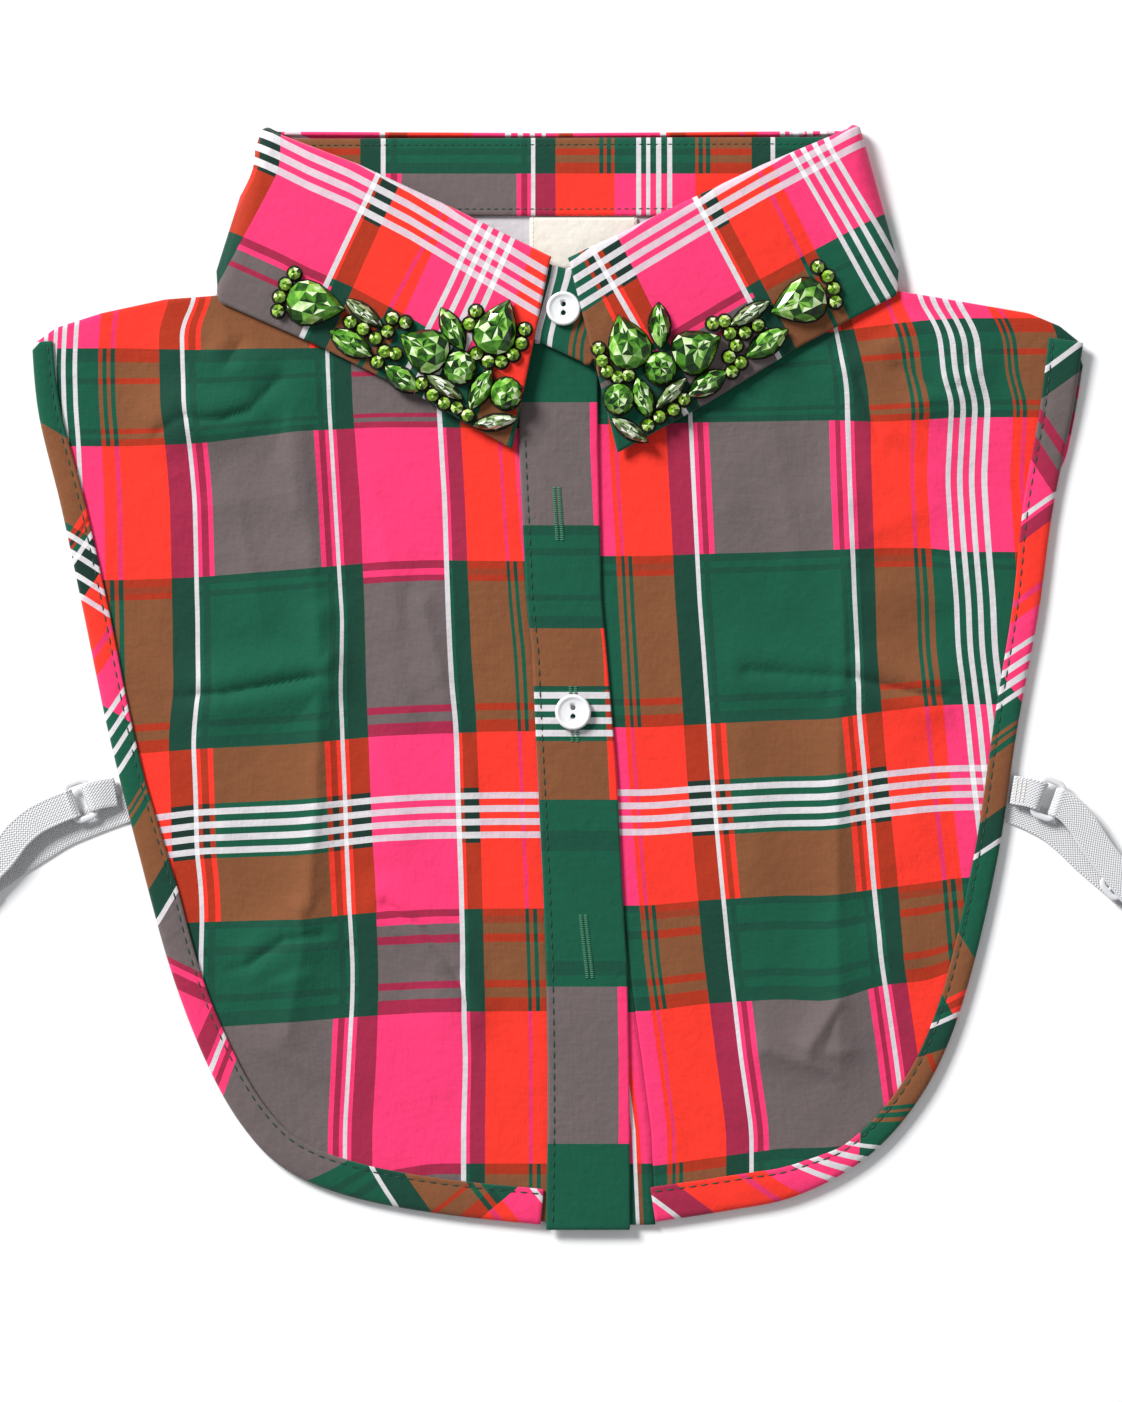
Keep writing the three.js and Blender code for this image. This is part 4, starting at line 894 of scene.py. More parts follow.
# %% The back panel's binding
def back_binding_surface(steps=300, across=5):
    """The back's flat binding, down one side, along the hem and up the other."""
    u = np.linspace(0, 1, steps + 1)
    rows = []
    for share in np.linspace(0, 1, across):
        line = []
        for is_left in (True, False):
            part = u[u < 0.5] if is_left else u[u >= 0.5]
            t = part * 2 if is_left else (1 - part) * 2
            shown = np.zeros_like(t) if is_left else (
                4.6 * smooth_step(t / 0.02) * (1 - smooth_step((t - 0.1) / 0.06)))
            inset = BACK_INSET - shown + share * (BACK_BINDING_WIDTH + shown)
            line.append((LEFT_EDGE if is_left else RIGHT_EDGE).inset(t, inset))
        flat = np.concatenate(line)
        rows.append(np.column_stack([flat, lift(flat[:, 1]) + PANEL / 2]))
    return np.stack(rows, axis=0)


back_strip_grid = back_binding_surface()
# At the right shoulder, where the strip shows, its stripes are the right front's own
from_right = np.linspace(0, LEFT_EDGE.length + RIGHT_EDGE.length, back_strip_grid.shape[1])[None, ::-1]
insets = np.linspace(0, 12, back_strip_grid.shape[0])[:, None]
back_strip_threads = np.dstack([from_right - insets, from_right + insets + 20]) * BIAS_UNIT
binding_back = cloth("binding_back_strip", back_strip_grid, back_strip_threads, PANEL * 0.9, [PLAID_BIAS_RIGHT])
belongs(binding_back, "plaid_brown", "binding_back")
print("back binding area:", round(flat_area(back_strip_grid), 5))

# %% [markdown]
# ## Placket
# The left front ends in a band that buttons over a second band on the right front. The upper band is
# cut from the green and grey stripe, with a line of stitching inside its left edge. The lower band
# only peeks out near the hem, where the opening spreads.

# %% Stripes of the placket bands
PLACKET_WARPS = stripes(-10.0, "G 70 T 90")
PLACKET_WEFTS = stripes(300.0,
    "B 402 A 525 D 535 B 548.5 D 555.5 B 594.6 D 600.6 B 615.7 D 628 C 686 D 690 W 692 X 698.5 "
    "W 704.8 X 711.3 W 717.3 X 723.8 W 729.8 X 736.3 W 741 C 799 B 830 D 850 B 960 D 975 B 986 A 1142 B 1260")
UNDER_WARPS = stripes(-60.0, "P -19 X -15 O -11 P 20")
PLAID_PLACKET = plaid("plaid_placket", PLACKET_WARPS, PLACKET_WEFTS)
PLAID_UNDER = plaid("plaid_under_placket", UNDER_WARPS, CLOTH_WEFTS)
UNDER_TOP, UNDER_BOTTOM, UNDER_WIDTH = 116, -181.2, 16
# Height of the band's section: 0 is the left edge, 1 the right
BAND_SECTION = np.array([
    (0.0, -0.12), (0.03, 0.0), (0.075, -0.16), (0.12, 0.0), (0.3, 0.1), (0.5, 0.12), (0.7, 0.1), (0.88, 0.02),
    (0.95, 0.0), (0.985, -0.02), (1.0, -0.12)])


def band_threads(grid):
    """A band's thread coordinates: across it from its first column, and down the chart."""
    across, down = chart_place(grid[..., 0], grid[..., 1])
    return np.dstack([across - across[:, :1], down]) * PANEL_UNIT


def placket_surface(rows=260):
    y = np.linspace(PLACKET_ROWS[0, 0], PLACKET_ROWS[-1, 0], rows + 1)
    left, right = placket_x(1, y), placket_x(2, y)
    share, height = BAND_SECTION[:, 0], BAND_SECTION[:, 1]
    x = left[:, None] + (right - left)[:, None] * share[None, :]
    down = np.repeat(y[:, None], len(share), axis=1)
    wave = 0.1 * rough(np.dstack([x, down]), 11.0, 5.5)
    z = lift(down) + BAND_LEVEL + PLACKET / 2 + height[None, :] * 0.7 + np.maximum(wave, -0.06)
    return np.dstack([x, down, z])


placket_grid = placket_surface()
placket = belongs(cloth("cloth_placket", placket_grid, band_threads(placket_grid), PLACKET * 0.85,
                        [PLAID_PLACKET]), "plaid_green", "button_placket")

UNDER_COLUMNS = 9
under_y = np.linspace(UNDER_TOP, UNDER_BOTTOM, 161)
under_x = placket_x(3, under_y)[:, None] - UNDER_WIDTH * np.linspace(0, 1, UNDER_COLUMNS)[None, :]
under_down = np.repeat(under_y[:, None], UNDER_COLUMNS, axis=1)
under_grid = np.dstack([under_x, under_down, lift(under_down) + FRONT_LEVEL + PANEL / 2])
under_placket = belongs(cloth("cloth_under_placket", under_grid, band_threads(under_grid), CLOTH_WALL,
                              [PLAID_UNDER]), "plaid_pink", "under_placket")
print("placket area:", round(flat_area(placket_grid), 5))

# %% [markdown]
# ## Collar
# A shirt collar has two parts. The stand is the band round the neck; the leaf is folded over it and
# falls to the points. Both are strips that turn at the side of the neck and run on beneath the back.
# Sections are tabled at a few places round the neck, and a smooth curve joins them.

# %% Collar sections
LEAF_ROWS = [  # turned-in lip, crease and free edge, from the left front round to the right front
    ((-3.5, 140.1, 8.7), (-3.9, 139.4, 9.8), (-16.5, 77.3, 5.5)),
    ((-34.6, 155.6, 8.4), (-35, 154.9, 9.5), (-47, 94.6, 5.4)),
    ((-67.6, 170.9, 7.6), (-68, 170.2, 8.7), (-81, 111.6, 5.4)),
    ((-95.5, 181.6, 6.8), (-96, 180.8, 7.9), (-111.5, 125, 5.4)),
    ((-97.3, 182.8, 5.9), (-98.4, 182.1, 6.6), (-113.8, 126.6, 5.5)),
    ((-97.8, 183.2, 4.4), (-99.3, 182.6, 4.2), (-114.2, 136, 3.2)),
    ((-97.0, 183.4, 3.1), (-98.3, 182.7, 1.8), (-113, 136.5, 1.4)),
    ((-94.5, 182.2, 2.2), (-95.2, 181.5, 0.6), (-110.5, 134, 0.6)),
    ((0, 181.7, 2.2), (0, 180.9, 0.6), (0, 126, 0.6)),
    ((94.5, 182.4, 2.2), (95.2, 181.7, 0.6), (108.5, 136, 0.6)),
    ((96.7, 184.2, 3.1), (98.0, 183.6, 1.8), (110.8, 138.2, 1.4)),
    ((97.5, 184.1, 4.4), (99.0, 183.6, 4.2), (112, 137.8, 3.2)),
    ((97.0, 183.8, 5.9), (98.1, 183.1, 6.6), (111.4, 128.4, 5.3)),
    ((95.2, 182.6, 6.8), (95.7, 181.8, 7.9), (109, 127, 5.4)),
    ((66.8, 170.6, 7.6), (67.2, 169.9, 8.7), (80, 111.6, 5.4)),
    ((34, 154.9, 8.4), (34.4, 154.2, 9.5), (49, 92.6, 5.4)),
    ((2.6, 139.7, 8.7), (3.0, 139, 9.8), (19, 76, 5.5))]
STAND_ROWS = [  # top edge and seam edge, from the front tab round to the right front
    ((13.4, 130.5, 7.6), (13.4, 110.5, 7.6)), ((11.6, 134, 7.6), (9.4, 104.8, 7.6)),
    ((-3, 137.6, 7.6), (-9.5, 113.6, 7.5)), ((-34, 151.5, 7.0), (-46, 130.5, 6.6)),
    ((-66.5, 166, 5.8), (-78, 145, 5.3)), ((-94, 178.3, 5.1), (-102.2, 153.8, 5.0)),
    ((-95.2, 179.3, 3.9), (-103.4, 154.2, 4.3)), ((-94, 180, 2.7), (-102, 154.8, 3.6)),
    ((0, 180.3, 2.7), (0, 154.7, 3.6)), ((94, 180.6, 2.7), (102, 155, 3.6)),
    ((95.2, 180, 3.9), (103.4, 154.6, 4.3)), ((94, 179, 5.1), (102, 154, 5.0)),
    ((66.5, 166.6, 5.6), (78, 145.3, 5.3)), ((34, 151.8, 6.1), (45, 130.3, 6.0)),
    ((3, 137, 6.3), (9, 113.2, 6.3)), ((-8.5, 131, 6.3), (-8.5, 112, 6.3))]


def smooth_sections(rows, step=2.4):
    """Sections between the tabled ones: straight between them, with rounded corners at each."""
    fine = []
    for first, second in zip(np.asarray(rows[:-1], float), np.asarray(rows[1:], float)):
        gap = np.linalg.norm((second - first).mean(axis=0))
        t = np.linspace(0, 1, max(1, int(round(gap / step))), endpoint=False)[:, None, None]
        fine.append(first + (second - first) * t)
    fine = np.concatenate(fine + [np.asarray(rows[-1:], float)])
    flat = fine.reshape(len(fine), -1)
    return spline_points(flat, 2).reshape(-1, *fine.shape[1:])


LEAF_CAMBER = 3
LEAF_FRONT_HEIGHT = 4.5  # above this the leaf lies in front, where it waves; below, it is under the back
leaf_sections = smooth_sections(LEAF_ROWS)
shares = np.concatenate([np.linspace(0, 0.94, 26), [0.955, 0.97, 0.985, 1.0]])
lip, crease, free_edge = (leaf_sections[:, k][:, None] for k in range(3))
leaf_grid = crease + (free_edge - crease) * shares[None, :, None]
leaf_grid[..., 2] = free_edge[..., 2] + (crease[..., 2] - free_edge[..., 2]) * (1 - shares[None, :] ** LEAF_CAMBER)
wave = rough(leaf_grid[..., :2], 24.0, 9.1) * 0.3 * np.sin(shares * math.pi)[None, :]
leaf_grid[..., 2] += np.where(leaf_grid[..., 2] > LEAF_FRONT_HEIGHT, wave, 0.0)
leaf_grid = np.concatenate([lip, (lip + crease) / 2 + (0, 0.1, 0.25), leaf_grid], axis=1)
print("leaf sections:", len(leaf_sections))

# %% [markdown]
# ## Thread coordinates of the collar
# The leaf is cut so that its stripes slant across it. Known stripes are tabled once more, as straight
# lines across the chart, and the white weft stripes give the other coordinate.

# %% Charts of the leaf
LEFT_LEAF_LINES = ([170, 258, 290, 460], {
    217: [281, 234, 217, 126], 325.6: [382.8, 340.8, 325.6, 244.6], 354: [408, 368.4, 354, 277.5],
    400.5: [466.5, 418.1, 400.5, 307], 416.6: [472, 431.1, 416.6, 339.3], 449: [508.4, 463.1, 449, 361],
    491.5: [544.7, 505.7, 491.5, 416], 524: [556, 529, 519, 464]})
RIGHT_LEAF_LINES = ([140, 230, 290, 460], {
    599: [527, 570.2, 599, 680.6], 614.4: [535, 579.1, 614.4, 714.4], 641: [571, 612, 641, 724],
    742: [662, 710, 742, 832.6], 764: [685, 732, 764, 854], 816.5: [741.5, 786.5, 816.5, 901.5],
    832.7: [756.7, 802.3, 832.7, 919], 867.6: [781, 834, 867.6, 972], 910: [823, 877, 910, 1015]})
LEFT_WHITE_LINE = ([200, 280, 310, 350, 410, 445, 530, 600], [137, 173, 188, 205.5, 237, 258, 309.5, 351])
RIGHT_WHITE_LINE = ([560, 600, 640, 680, 720, 760, 800, 840, 880, 920],
                    [320, 295, 270, 246, 222, 199, 177.5, 156, 135, 114])
LEAF_WEFTS = stripes(
    -120.0, "C -54 W -50 X -42 W -34 X -26 W -19 X -11 W -4 X 4 W 8 C 81 H 90 F 96 B 110 D 116 B 260")
LEFT_LEAF_WARPS = stripes(0.0,
    "G 175 T 179 D 185 T 189 X 193 T 197 D 217 K 322 X 328 T 332 D 353 O 399 b 404 O 416 P 446 X 452 P 460 "
    "X 466 P 474 X 480 P 488 X 495 P 524 O 562 G 640")
RIGHT_LEAF_WARPS = stripes(500.0,
    "G 597 T 601 D 611 X 617 T 623 D 642 K 739 X 745 T 749 D 764 O 814 b 819 O 833 P 865 X 871 P 879 X 885 "
    "P 893 X 899 P 907 X 913 P 1100")
PLAID_LEAF_LEFT = plaid("plaid_left_leaf", LEFT_LEAF_WARPS, LEAF_WEFTS)
PLAID_LEAF_RIGHT = plaid("plaid_right_leaf", RIGHT_LEAF_WARPS, LEAF_WEFTS)

across, down = chart_place(leaf_grid[..., 0], leaf_grid[..., 1])
on_left = leaf_grid[..., 0] < 0
leaf_threads = np.dstack([
    np.where(on_left, between_lines(across, down, LEFT_LEAF_LINES), between_lines(across, down, RIGHT_LEAF_LINES)),
    down - np.where(on_left, np.interp(across, *LEFT_WHITE_LINE), np.interp(across, *RIGHT_WHITE_LINE))
]) * PANEL_UNIT
leaf = cloth("cloth_collar_leaf", leaf_grid, leaf_threads, LEAF * 0.95, [PLAID_LEAF_LEFT, PLAID_LEAF_RIGHT],
             face_up=False, slot_of=lambda centres, upper: (centres[:, 0] > 0).astype(int).tolist())
belongs(leaf, "plaid_pink", "collar_leaf")
print("leaf area:", round(flat_area(leaf_grid), 5))

# %% Make the stand
STAND_WARPS = stripes(200.0,
    "D 262 X 266 T 280 O 360 D 381 X 385.5 T 391 U 397 T 401.5 G 516.7 T 521.3 U 527.4 T 531 X 535.3 D 555.5 "
    "O 599 a 603.4 O 606.7 a 611 O 614.3 P 636 X 641 P 646 X 650 P 656 X 661 P 667 X 672 "
    "P 695 O 698.3 a 702.7 O 705.5 a 709.9 O 751.3 D 770.3 X 774.6 G 900")
STAND_WEFTS = stripes(100.0, "B 149 D 155.5 B 163 D 174 A 240")
TAB_LINES = ([270, 340], {
    0: [555.7, 536.6], 14: [569.5, 549], 40: [600, 570], 47: [607, 577], 53: [613, 583]})
TAB_WARPS = stripes(-80.0, "G -3 X 3 G 11 X 17 G 37.5 O 42 G 45 O 49.5 G 53 O 120")
TAB_WEFTS = stripes(230.0, "B 420")
PLAID_STAND = plaid("plaid_stand", STAND_WARPS, STAND_WEFTS)
PLAID_TAB = plaid("plaid_tab", TAB_WARPS, TAB_WEFTS)
FRONT_OF_STAND = 145  # the tab's cloth lies below this height on the photograph, the neck band's above
stand_sections = smooth_sections(STAND_ROWS)
top_edge, seam_edge = stand_sections[:, 0][:, None], stand_sections[:, 1][:, None]
stand_shares = np.array([0, 0.04, 0.08, 0.12, 0.25, 0.4, 0.6, 0.75, 0.88, 0.92, 0.96, 1.0])
stand_grid = top_edge + (seam_edge - top_edge) * stand_shares[None, :, None]
stand_grid[..., 2] += 0.12 * np.sin(stand_shares * math.pi)[None, :]
across, down = chart_place(stand_grid[..., 0], stand_grid[..., 1])
across = np.where(stand_grid[..., 1] < FRONT_OF_STAND, between_lines(across, down, TAB_LINES), across)
stand_threads = np.dstack([across, down]) * PANEL_UNIT
stand = cloth("cloth_collar_stand", stand_grid, stand_threads, STAND * 0.9, [PLAID_STAND, PLAID_TAB],
              face_up=False, slot_of=lambda centres, upper: (centres[:, 1] < FRONT_OF_STAND).astype(int).tolist())
belongs(stand, "plaid_red", "collar_stand")
print("stand area:", round(flat_area(stand_grid), 5))

# %% Neck label
PATCH = {"x": 7.5, "y": 145.4, "width": 35.6, "depth": 16.8}
PATCH_COLUMNS, PATCH_ROWS = 37, 19
patch_u, patch_v = np.meshgrid(np.linspace(-0.5, 0.5, PATCH_COLUMNS), np.linspace(-0.5, 0.5, PATCH_ROWS))
patch_x, patch_y = PATCH["x"] + PATCH["width"] * patch_u, PATCH["y"] - PATCH["depth"] * patch_v
patch_z = LIFT + PANEL + GAP + 0.4 + 0.08 * rough(np.dstack([patch_x, patch_y]), 7.0, 2.2)
patch_grid = np.dstack([patch_x, patch_y, patch_z])
patch = belongs(cloth("neck_label_patch", patch_grid, patch_grid[..., :2] * MM, 0.6, [LABEL_TAPE]),
                "label_tape", "neck_label")
print("label:", PATCH)

# %% [markdown]
# ## Buttons
# Each button is a turned disc: a low dish with a rounded rim and two holes through it. A profile is
# spun round the axis and the holes are cut with a Boolean modifier. The plastic is white and glossy
# with a faint pearly cloud.

# %% Plastic
def white_plastic(name, colour, roughness):
    material, tree, shader = new_material(name, Roughness=roughness, Coat_Weight=0.4, Coat_Roughness=0.15)
    tint(tree, shader, colour, uneven(tree, 260.0, 3.0, 0.93, 1.0))
    return material


BUTTON_PLASTIC = white_plastic("button_plastic", screen(240, 240, 242), 0.28)
LOOP_PLASTIC = white_plastic("loop_plastic", screen(222, 222, 225), 0.32)
BUTTON_PROFILE = [  # share of the radius, height in millimetres
    (0.0, 0.0), (0.72, 0.0), (0.93, 0.35), (1.0, 1.0), (0.99, 1.55), (0.94, 2.0), (0.87, 2.15), (0.8, 2.0),
    (0.74, 1.7), (0.6, 1.5), (0.3, 1.42), (0.0, 1.4)]
PIN_PROFILE = [(0.0, 0.0), (1.0, 0.0), (1.0, 6.0), (0.0, 6.0)]  # what cuts a thread hole
BUTTON_HOLE, BUTTON_HOLE_SPACING = 0.85, 2.9
BUTTONS = {  # x, y, height of the cloth under it, diameter
    "collar_button": (0.8, 123.3, 8.1, 11.4), "front_button": (4.0, -10.7, 4.1, 12.0)}
TURNS = 56


def spun(profile, x, y, z, radius):
    """Points and faces of a profile spun round an upright axis."""
    points, faces = [(x, y, z + profile[0][1])], []
    angles = np.linspace(0, 2 * math.pi, TURNS, endpoint=False)
    for share, height in profile[1:-1]:
        points += [(x + radius * share * math.cos(a), y + radius * share * math.sin(a), z + height) for a in angles]
    points.append((x, y, z + profile[-1][1]))
    last = len(points) - 1
    for k in range(TURNS):
        n = (k + 1) % TURNS
        faces.append((0, 1 + n, 1 + k))
        for ring in range(len(profile) - 3):
            a, b = 1 + ring * TURNS, 1 + (ring + 1) * TURNS
            faces.append((a + k, a + n, b + n, b + k))
        faces.append((last - TURNS + k, last - TURNS + n, last))
    return points, faces


def make_plain(piece):
    """Turn a piece's modifiers into plain mesh."""
    shaped = bpy.data.meshes.new_from_object(piece.evaluated_get(bpy.context.evaluated_depsgraph_get()))
    piece.modifiers.clear()
    piece.data = shaped
    return piece


def drilled(piece, cutters):
    """Cut holes and leave a plain mesh."""
    for cutter in cutters:
        cut = piece.modifiers.new("hole", "BOOLEAN")
        cut.object = cutter
        cut.operation = "DIFFERENCE"
    bpy.context.view_layer.update()
    make_plain(piece)
    for cutter in cutters:
        bpy.data.objects.remove(cutter, do_unlink=True)
    return piece


for button_name, (x, y, cloth_height, diameter) in BUTTONS.items():
    turned_disc = spun(BUTTON_PROFILE, x, y, cloth_height + GAP, diameter / 2)
    disc = add_mesh(f"{button_name}_disc", *turned_disc, [BUTTON_PLASTIC])
    pins = []
    for side in (1, -1):
        pin = spun(PIN_PROFILE, x, y + side * BUTTON_HOLE_SPACING / 2, cloth_height - 1.5, BUTTON_HOLE)
        pins.append(add_mesh("pin", *pin, [BUTTON_PLASTIC], smooth=False))
    drilled(disc, pins)
    shade_smooth(disc.data)
    belongs(disc, "white_plastic", button_name)
print("buttons:", list(BUTTONS))

# %% [markdown]
# ## Stones
# The collar carries two sprays of green glass: pears, rounds and boat-shaped marquises in claw
# settings, with rows of small stones in cup chain between them. A cut stone looks bright because its
# facets send different parts of the room back to the eye. Tracing that through real glass takes long
# and leaves noise, so each facet here has a painted reflection instead: its own tone, from dark green to a
# near-white painted glint, under a clear glossy surface. The tones come from a seeded draw, so they are the same in
# each run.

# %% Glass and setting metal
def glass_with_painted_glints(name, *tones):
    """Glass with painted reflections: the tone of each facet picks a screen colour, up to a painted glint; the
    surface is a clear gloss.
    """
    material, tree, shader = new_material(
        name, Roughness=0.06, Specular_IOR_Level=0.55, Coat_Weight=0.25, Coat_Roughness=0.02)
    tone = node(tree, "ShaderNodeAttribute", attribute_name="facet").outputs["Fac"]
    # Noise shifts each facet's painted reflection a little lighter or darker across the stone.
    glint_wander = object_noise(tree, 420.0, 1.0)
    shifted = maths(tree, "MULTIPLY_ADD", maths(tree, "SUBTRACT", glint_wander, 0.5), 0.55, tone)
    ramp = node(tree, "ShaderNodeValToRGB", {"Fac": shifted})
    stops = ramp.color_ramp.elements
    for stop, (_, *colour) in zip(stops, (tones[0], tones[-1])):
        stop.color = screen(*colour)
    for position, *colour in tones[1:-1]:
        stops.new(position).color = screen(*colour)
    link(tree, ramp.outputs["Color"], shader.inputs["Base Color"])
    return material


GREEN_GLASS = glass_with_painted_glints(
    "green_glass", (0.0, 6, 26, 4), (0.2, 22, 66, 10), (0.42, 60, 116, 24), (0.62, 88, 156, 44),
    (0.8, 148, 202, 86), (1.0, 228, 242, 200))
PALE_GLASS = glass_with_painted_glints(
    "pale_glass", (0.0, 20, 30, 12), (0.25, 66, 88, 44), (0.5, 118, 144, 88), (0.72, 176, 196, 148),
    (0.88, 226, 234, 210), (1.0, 252, 252, 246))
LIME_GLASS = glass_with_painted_glints(
    "lime_glass", (0.0, 22, 40, 2), (0.3, 62, 102, 12), (0.55, 104, 152, 26), (0.78, 160, 200, 70),
    (1.0, 232, 244, 190))


def cloudy(name, colour, other, scale, detail, **values):
    """A finish that wanders between two colours."""
    material, tree, shader = new_material(name, **values)
    link(tree, mixed(tree, object_noise(tree, scale, detail), colour, other), shader.inputs["Base Color"])
    return material


TARNISH = screen(34, 30, 22)
DARK_METAL = cloudy("setting_metal", screen(74, 70, 38), TARNISH, 700.0, 2.0, Metallic=0.85, Roughness=0.4)
CLAW_METAL = cloudy("claw_metal", screen(176, 168, 120), TARNISH, 700.0, 2.0, Metallic=0.85, Roughness=0.25)
# Near-black painted shade, laid round and between the stones where shade falls.
STONE_SHADE_PAINT = cloudy("painted_stone_shade", screen(10, 12, 8), screen(38, 36, 26), 900.0, 3.0, Roughness=0.95)
print("glass and metal ready")

# %% Tables of the stones
STONES = {  # cut, x, y, length, width, turn in degrees
    "left": [
        ("pear", -81.5, 124.7, 19, 14, -10), ("marquise", -65.4, 121.8, 15, 4.6, -37),
        ("marquise", -69.8, 111.8, 16, 7.2, -31), ("pear", -45.8, 110.1, 16.8, 14, 150),
        ("marquise", -36.0, 116.4, 15.2, 6.2, -62), ("round", -33.6, 103.6, 10.4, 10.4, 0),
        ("pear", -20.9, 117.2, 18.4, 13.4, 67), ("marquise", -26.7, 96.4, 14.4, 6.2, 62),
        ("round", -18.2, 95.0, 10.0, 10.0, 0), ("marquise", -38.6, 97.2, 14, 4.4, -34),
        ("marquise", -22.0, 85.6, 14.4, 4.6, 9), ("marquise", -52.9, 100.0, 13.4, 6.6, -37)],
    "right": [
        ("pear", 22.0, 112.2, 18, 13.6, 109), ("marquise", 32.7, 117.6, 14.6, 6.4, 92),
        ("pear", 45.4, 109.7, 16.6, 14, 30), ("round", 33.0, 103.4, 10.2, 10.2, 0),
        ("round", 19.2, 93.2, 9.6, 9.6, 0), ("marquise", 27.3, 93.6, 13.6, 6.2, 107),
        ("marquise", 36.6, 95.2, 13.6, 4.4, 45), ("marquise", 48.6, 98.4, 14.4, 6.8, 33),
        ("marquise", 62.7, 121.6, 14.8, 4.8, 32), ("marquise", 68.4, 111.8, 16, 7.2, 34),
        ("pear", 78.7, 125.2, 18.6, 14, 200), ("marquise", 22.8, 83.0, 13.8, 4.6, -33)]}
STONE_HEIGHT = {"pear": 5.2, "round": 4.6, "marquise": 3.6}
CLAW_COUNT = {"pear": 8, "round": 8, "marquise": 6}
CHAINS = {  # the rows of small stones: x and y of each stone
    "left": {
        "end": [(-88.5, 134.9), (-91.4, 131.3), (-93.4, 127.2), (-94, 122.6)],
        "middle": [
            (-69.9, 118.8), (-65.7, 116.5), (-61.6, 113.4), (-57.6, 115.7), (-56, 120), (-51.6, 118.6)],
        "lower": [(-61, 105.6), (-58.6, 109), (-54.9, 108.3)],
        "hem": [(-46.3, 98.4), (-42.7, 94.6), (-38.8, 91.9), (-34.6, 90.4), (-31, 87.9)],
        "front": [(-28.2, 122.2), (-30.4, 118)],
        "inner": [
            (-12, 116.2), (-13.2, 111.6), (-15.9, 107.9), (-19.8, 105.6), (-24.2, 105.6), (-28, 108.2)]},
    "right": {
        "end": [(85.3, 137.1), (88.6, 134.0), (90.6, 130.0), (91.2, 125.6)],
        "middle": [(50.4, 118.2), (54.3, 119), (56.1, 115), (61.1, 115.3), (65.4, 117.7)],
        "lower": [(58.2, 111), (55.9, 107.2), (59.7, 105.4), (56.8, 102.4)],
        "hem": [(40.9, 93.2), (37.4, 89.8), (32.7, 87.4), (28.9, 84.6)],
        "inner": [(12.5, 109.8), (13.6, 105.8), (15.3, 102.3), (18.8, 100.5), (22.4, 101)]}}
PALE_WIDTH = 5.0  # marquises narrower than this are the pale ones

leaf_mesh = leaf.data
leaf_tree = BVHTree.FromPolygons(
    [tuple(v.co / MM) for v in leaf_mesh.vertices], [tuple(p.vertices) for p in leaf_mesh.polygons])


def seat(x, y, beyond=8.0):
    """Height just above the leaf, where a stone's cup stands."""
    hit = leaf_tree.ray_cast(Vector((x, y, 40.0)), Vector((0, 0, -1)))[0]
    return beyond if hit is None else hit.z + 0.1


print("stones:", sum(map(len, STONES.values())), "rows:", sum(map(len, CHAINS.values())))

# %% Cut the stones
SIDES = 16
GLASS, CUP = 0, 1  # material slots of a stone
PEAR_FULLNESS = 0.77
draw = np.random.default_rng(20)


def outline_point(cut, share, length, width):
    """A point round a stone whose long axis is x; a pear's tip points to +x."""
    angle = share * 2 * math.pi
    half = math.sin(angle)
    spread = {"round": half, "marquise": half * abs(half) ** 0.75,
              "pear": half * math.sin(angle / 2) / PEAR_FULLNESS}[cut]
    return math.cos(angle) * length / 2, spread * width / 2


def ring_of(cut, length, width, scale, height, count, turn=0.0):
    return [(*(scale * c for c in outline_point(cut, (k + turn) / count, length, width)), height)
            for k in range(count)]


def cut_stone(cut, length, width, height):
    """Cup, girdle, crown and a table whose fan of painted tones stands for the facets beneath. Faces have a slot
    and a tone of painted reflection.
    """
    points, faces, slots, tones = [], [], [], []

    def ring(*spec):
        points.extend(ring_of(cut, length, width, *spec))
        return len(points) - spec[2]

    def face(corners, slot, tone):
        faces.append(corners)
        slots.append(slot)
        tones.append(tone)

    half = SIDES // 2
    # Each glass face gets a painted reflection: one tone drawn from the given ones.
    def facet(corners, *tones_to_draw):
        face(corners, GLASS, draw.choice(tones_to_draw))

    cup_low, cup_high, girdle, crown, table = (
        ring(share, height * level, count, turn) for share, level, count, turn in (
            (0.86, 0.0, SIDES, 0.0), (1.0, 0.34, SIDES, 0.0), (1.0, 0.46, SIDES, 0.0),
            (0.84, 0.78, half, 0.5), (0.56, 0.98, half, 0.0)))
    points.append((0.0, 0.0, height))
    centre = len(points) - 1
    face([cup_low + k for k in reversed(range(SIDES))], CUP, 0.0)
    for k in range(SIDES):
        n = (k + 1) % SIDES
        face((cup_low + k, cup_low + n, cup_high + n, cup_high + k), CUP, 0.0)
        face((cup_high + k, cup_high + n, girdle + n, girdle + k), CUP, 0.0)
    for k in range(half):
        n = (k + 1) % half
        before = (k - 1) % half
        a, b, c = girdle + 2 * k, girdle + 2 * k + 1, girdle + (2 * k + 2) % SIDES
        facet((a, b, crown + k), 0.05, 0.2, 0.4, 0.6, 0.85)
        facet((b, c, crown + k), 0.1, 0.3, 0.45, 0.65, 1.0)
        facet((crown + before, a, crown + k, table + k), 0.1, 0.25, 0.45, 0.6, 0.8)
        facet((crown + k, table + n, table + k), 0.05, 0.25, 0.5, 0.7, 0.95)
        middle = len(points)
        along = np.mean([points[table + k], points[table + n]], axis=0) * (0.62, 0.62, 1.0)
        points.append((along[0], along[1], height * 0.995))
        facet((table + k, table + n, middle), 0.15, 0.3, 0.5, 0.8, 1.0)
        facet((table + k, middle, centre), 0.05, 0.25, 0.45, 0.7, 0.95)
        facet((middle, table + n, centre), 0.1, 0.3, 0.5, 0.65, 0.9)
    return points, faces, slots, tones


def set_painted_glints(piece, tones):
    layer = piece.data.attributes.new("facet", "FLOAT", "FACE")
    layer.data.foreach_set("value", tones)


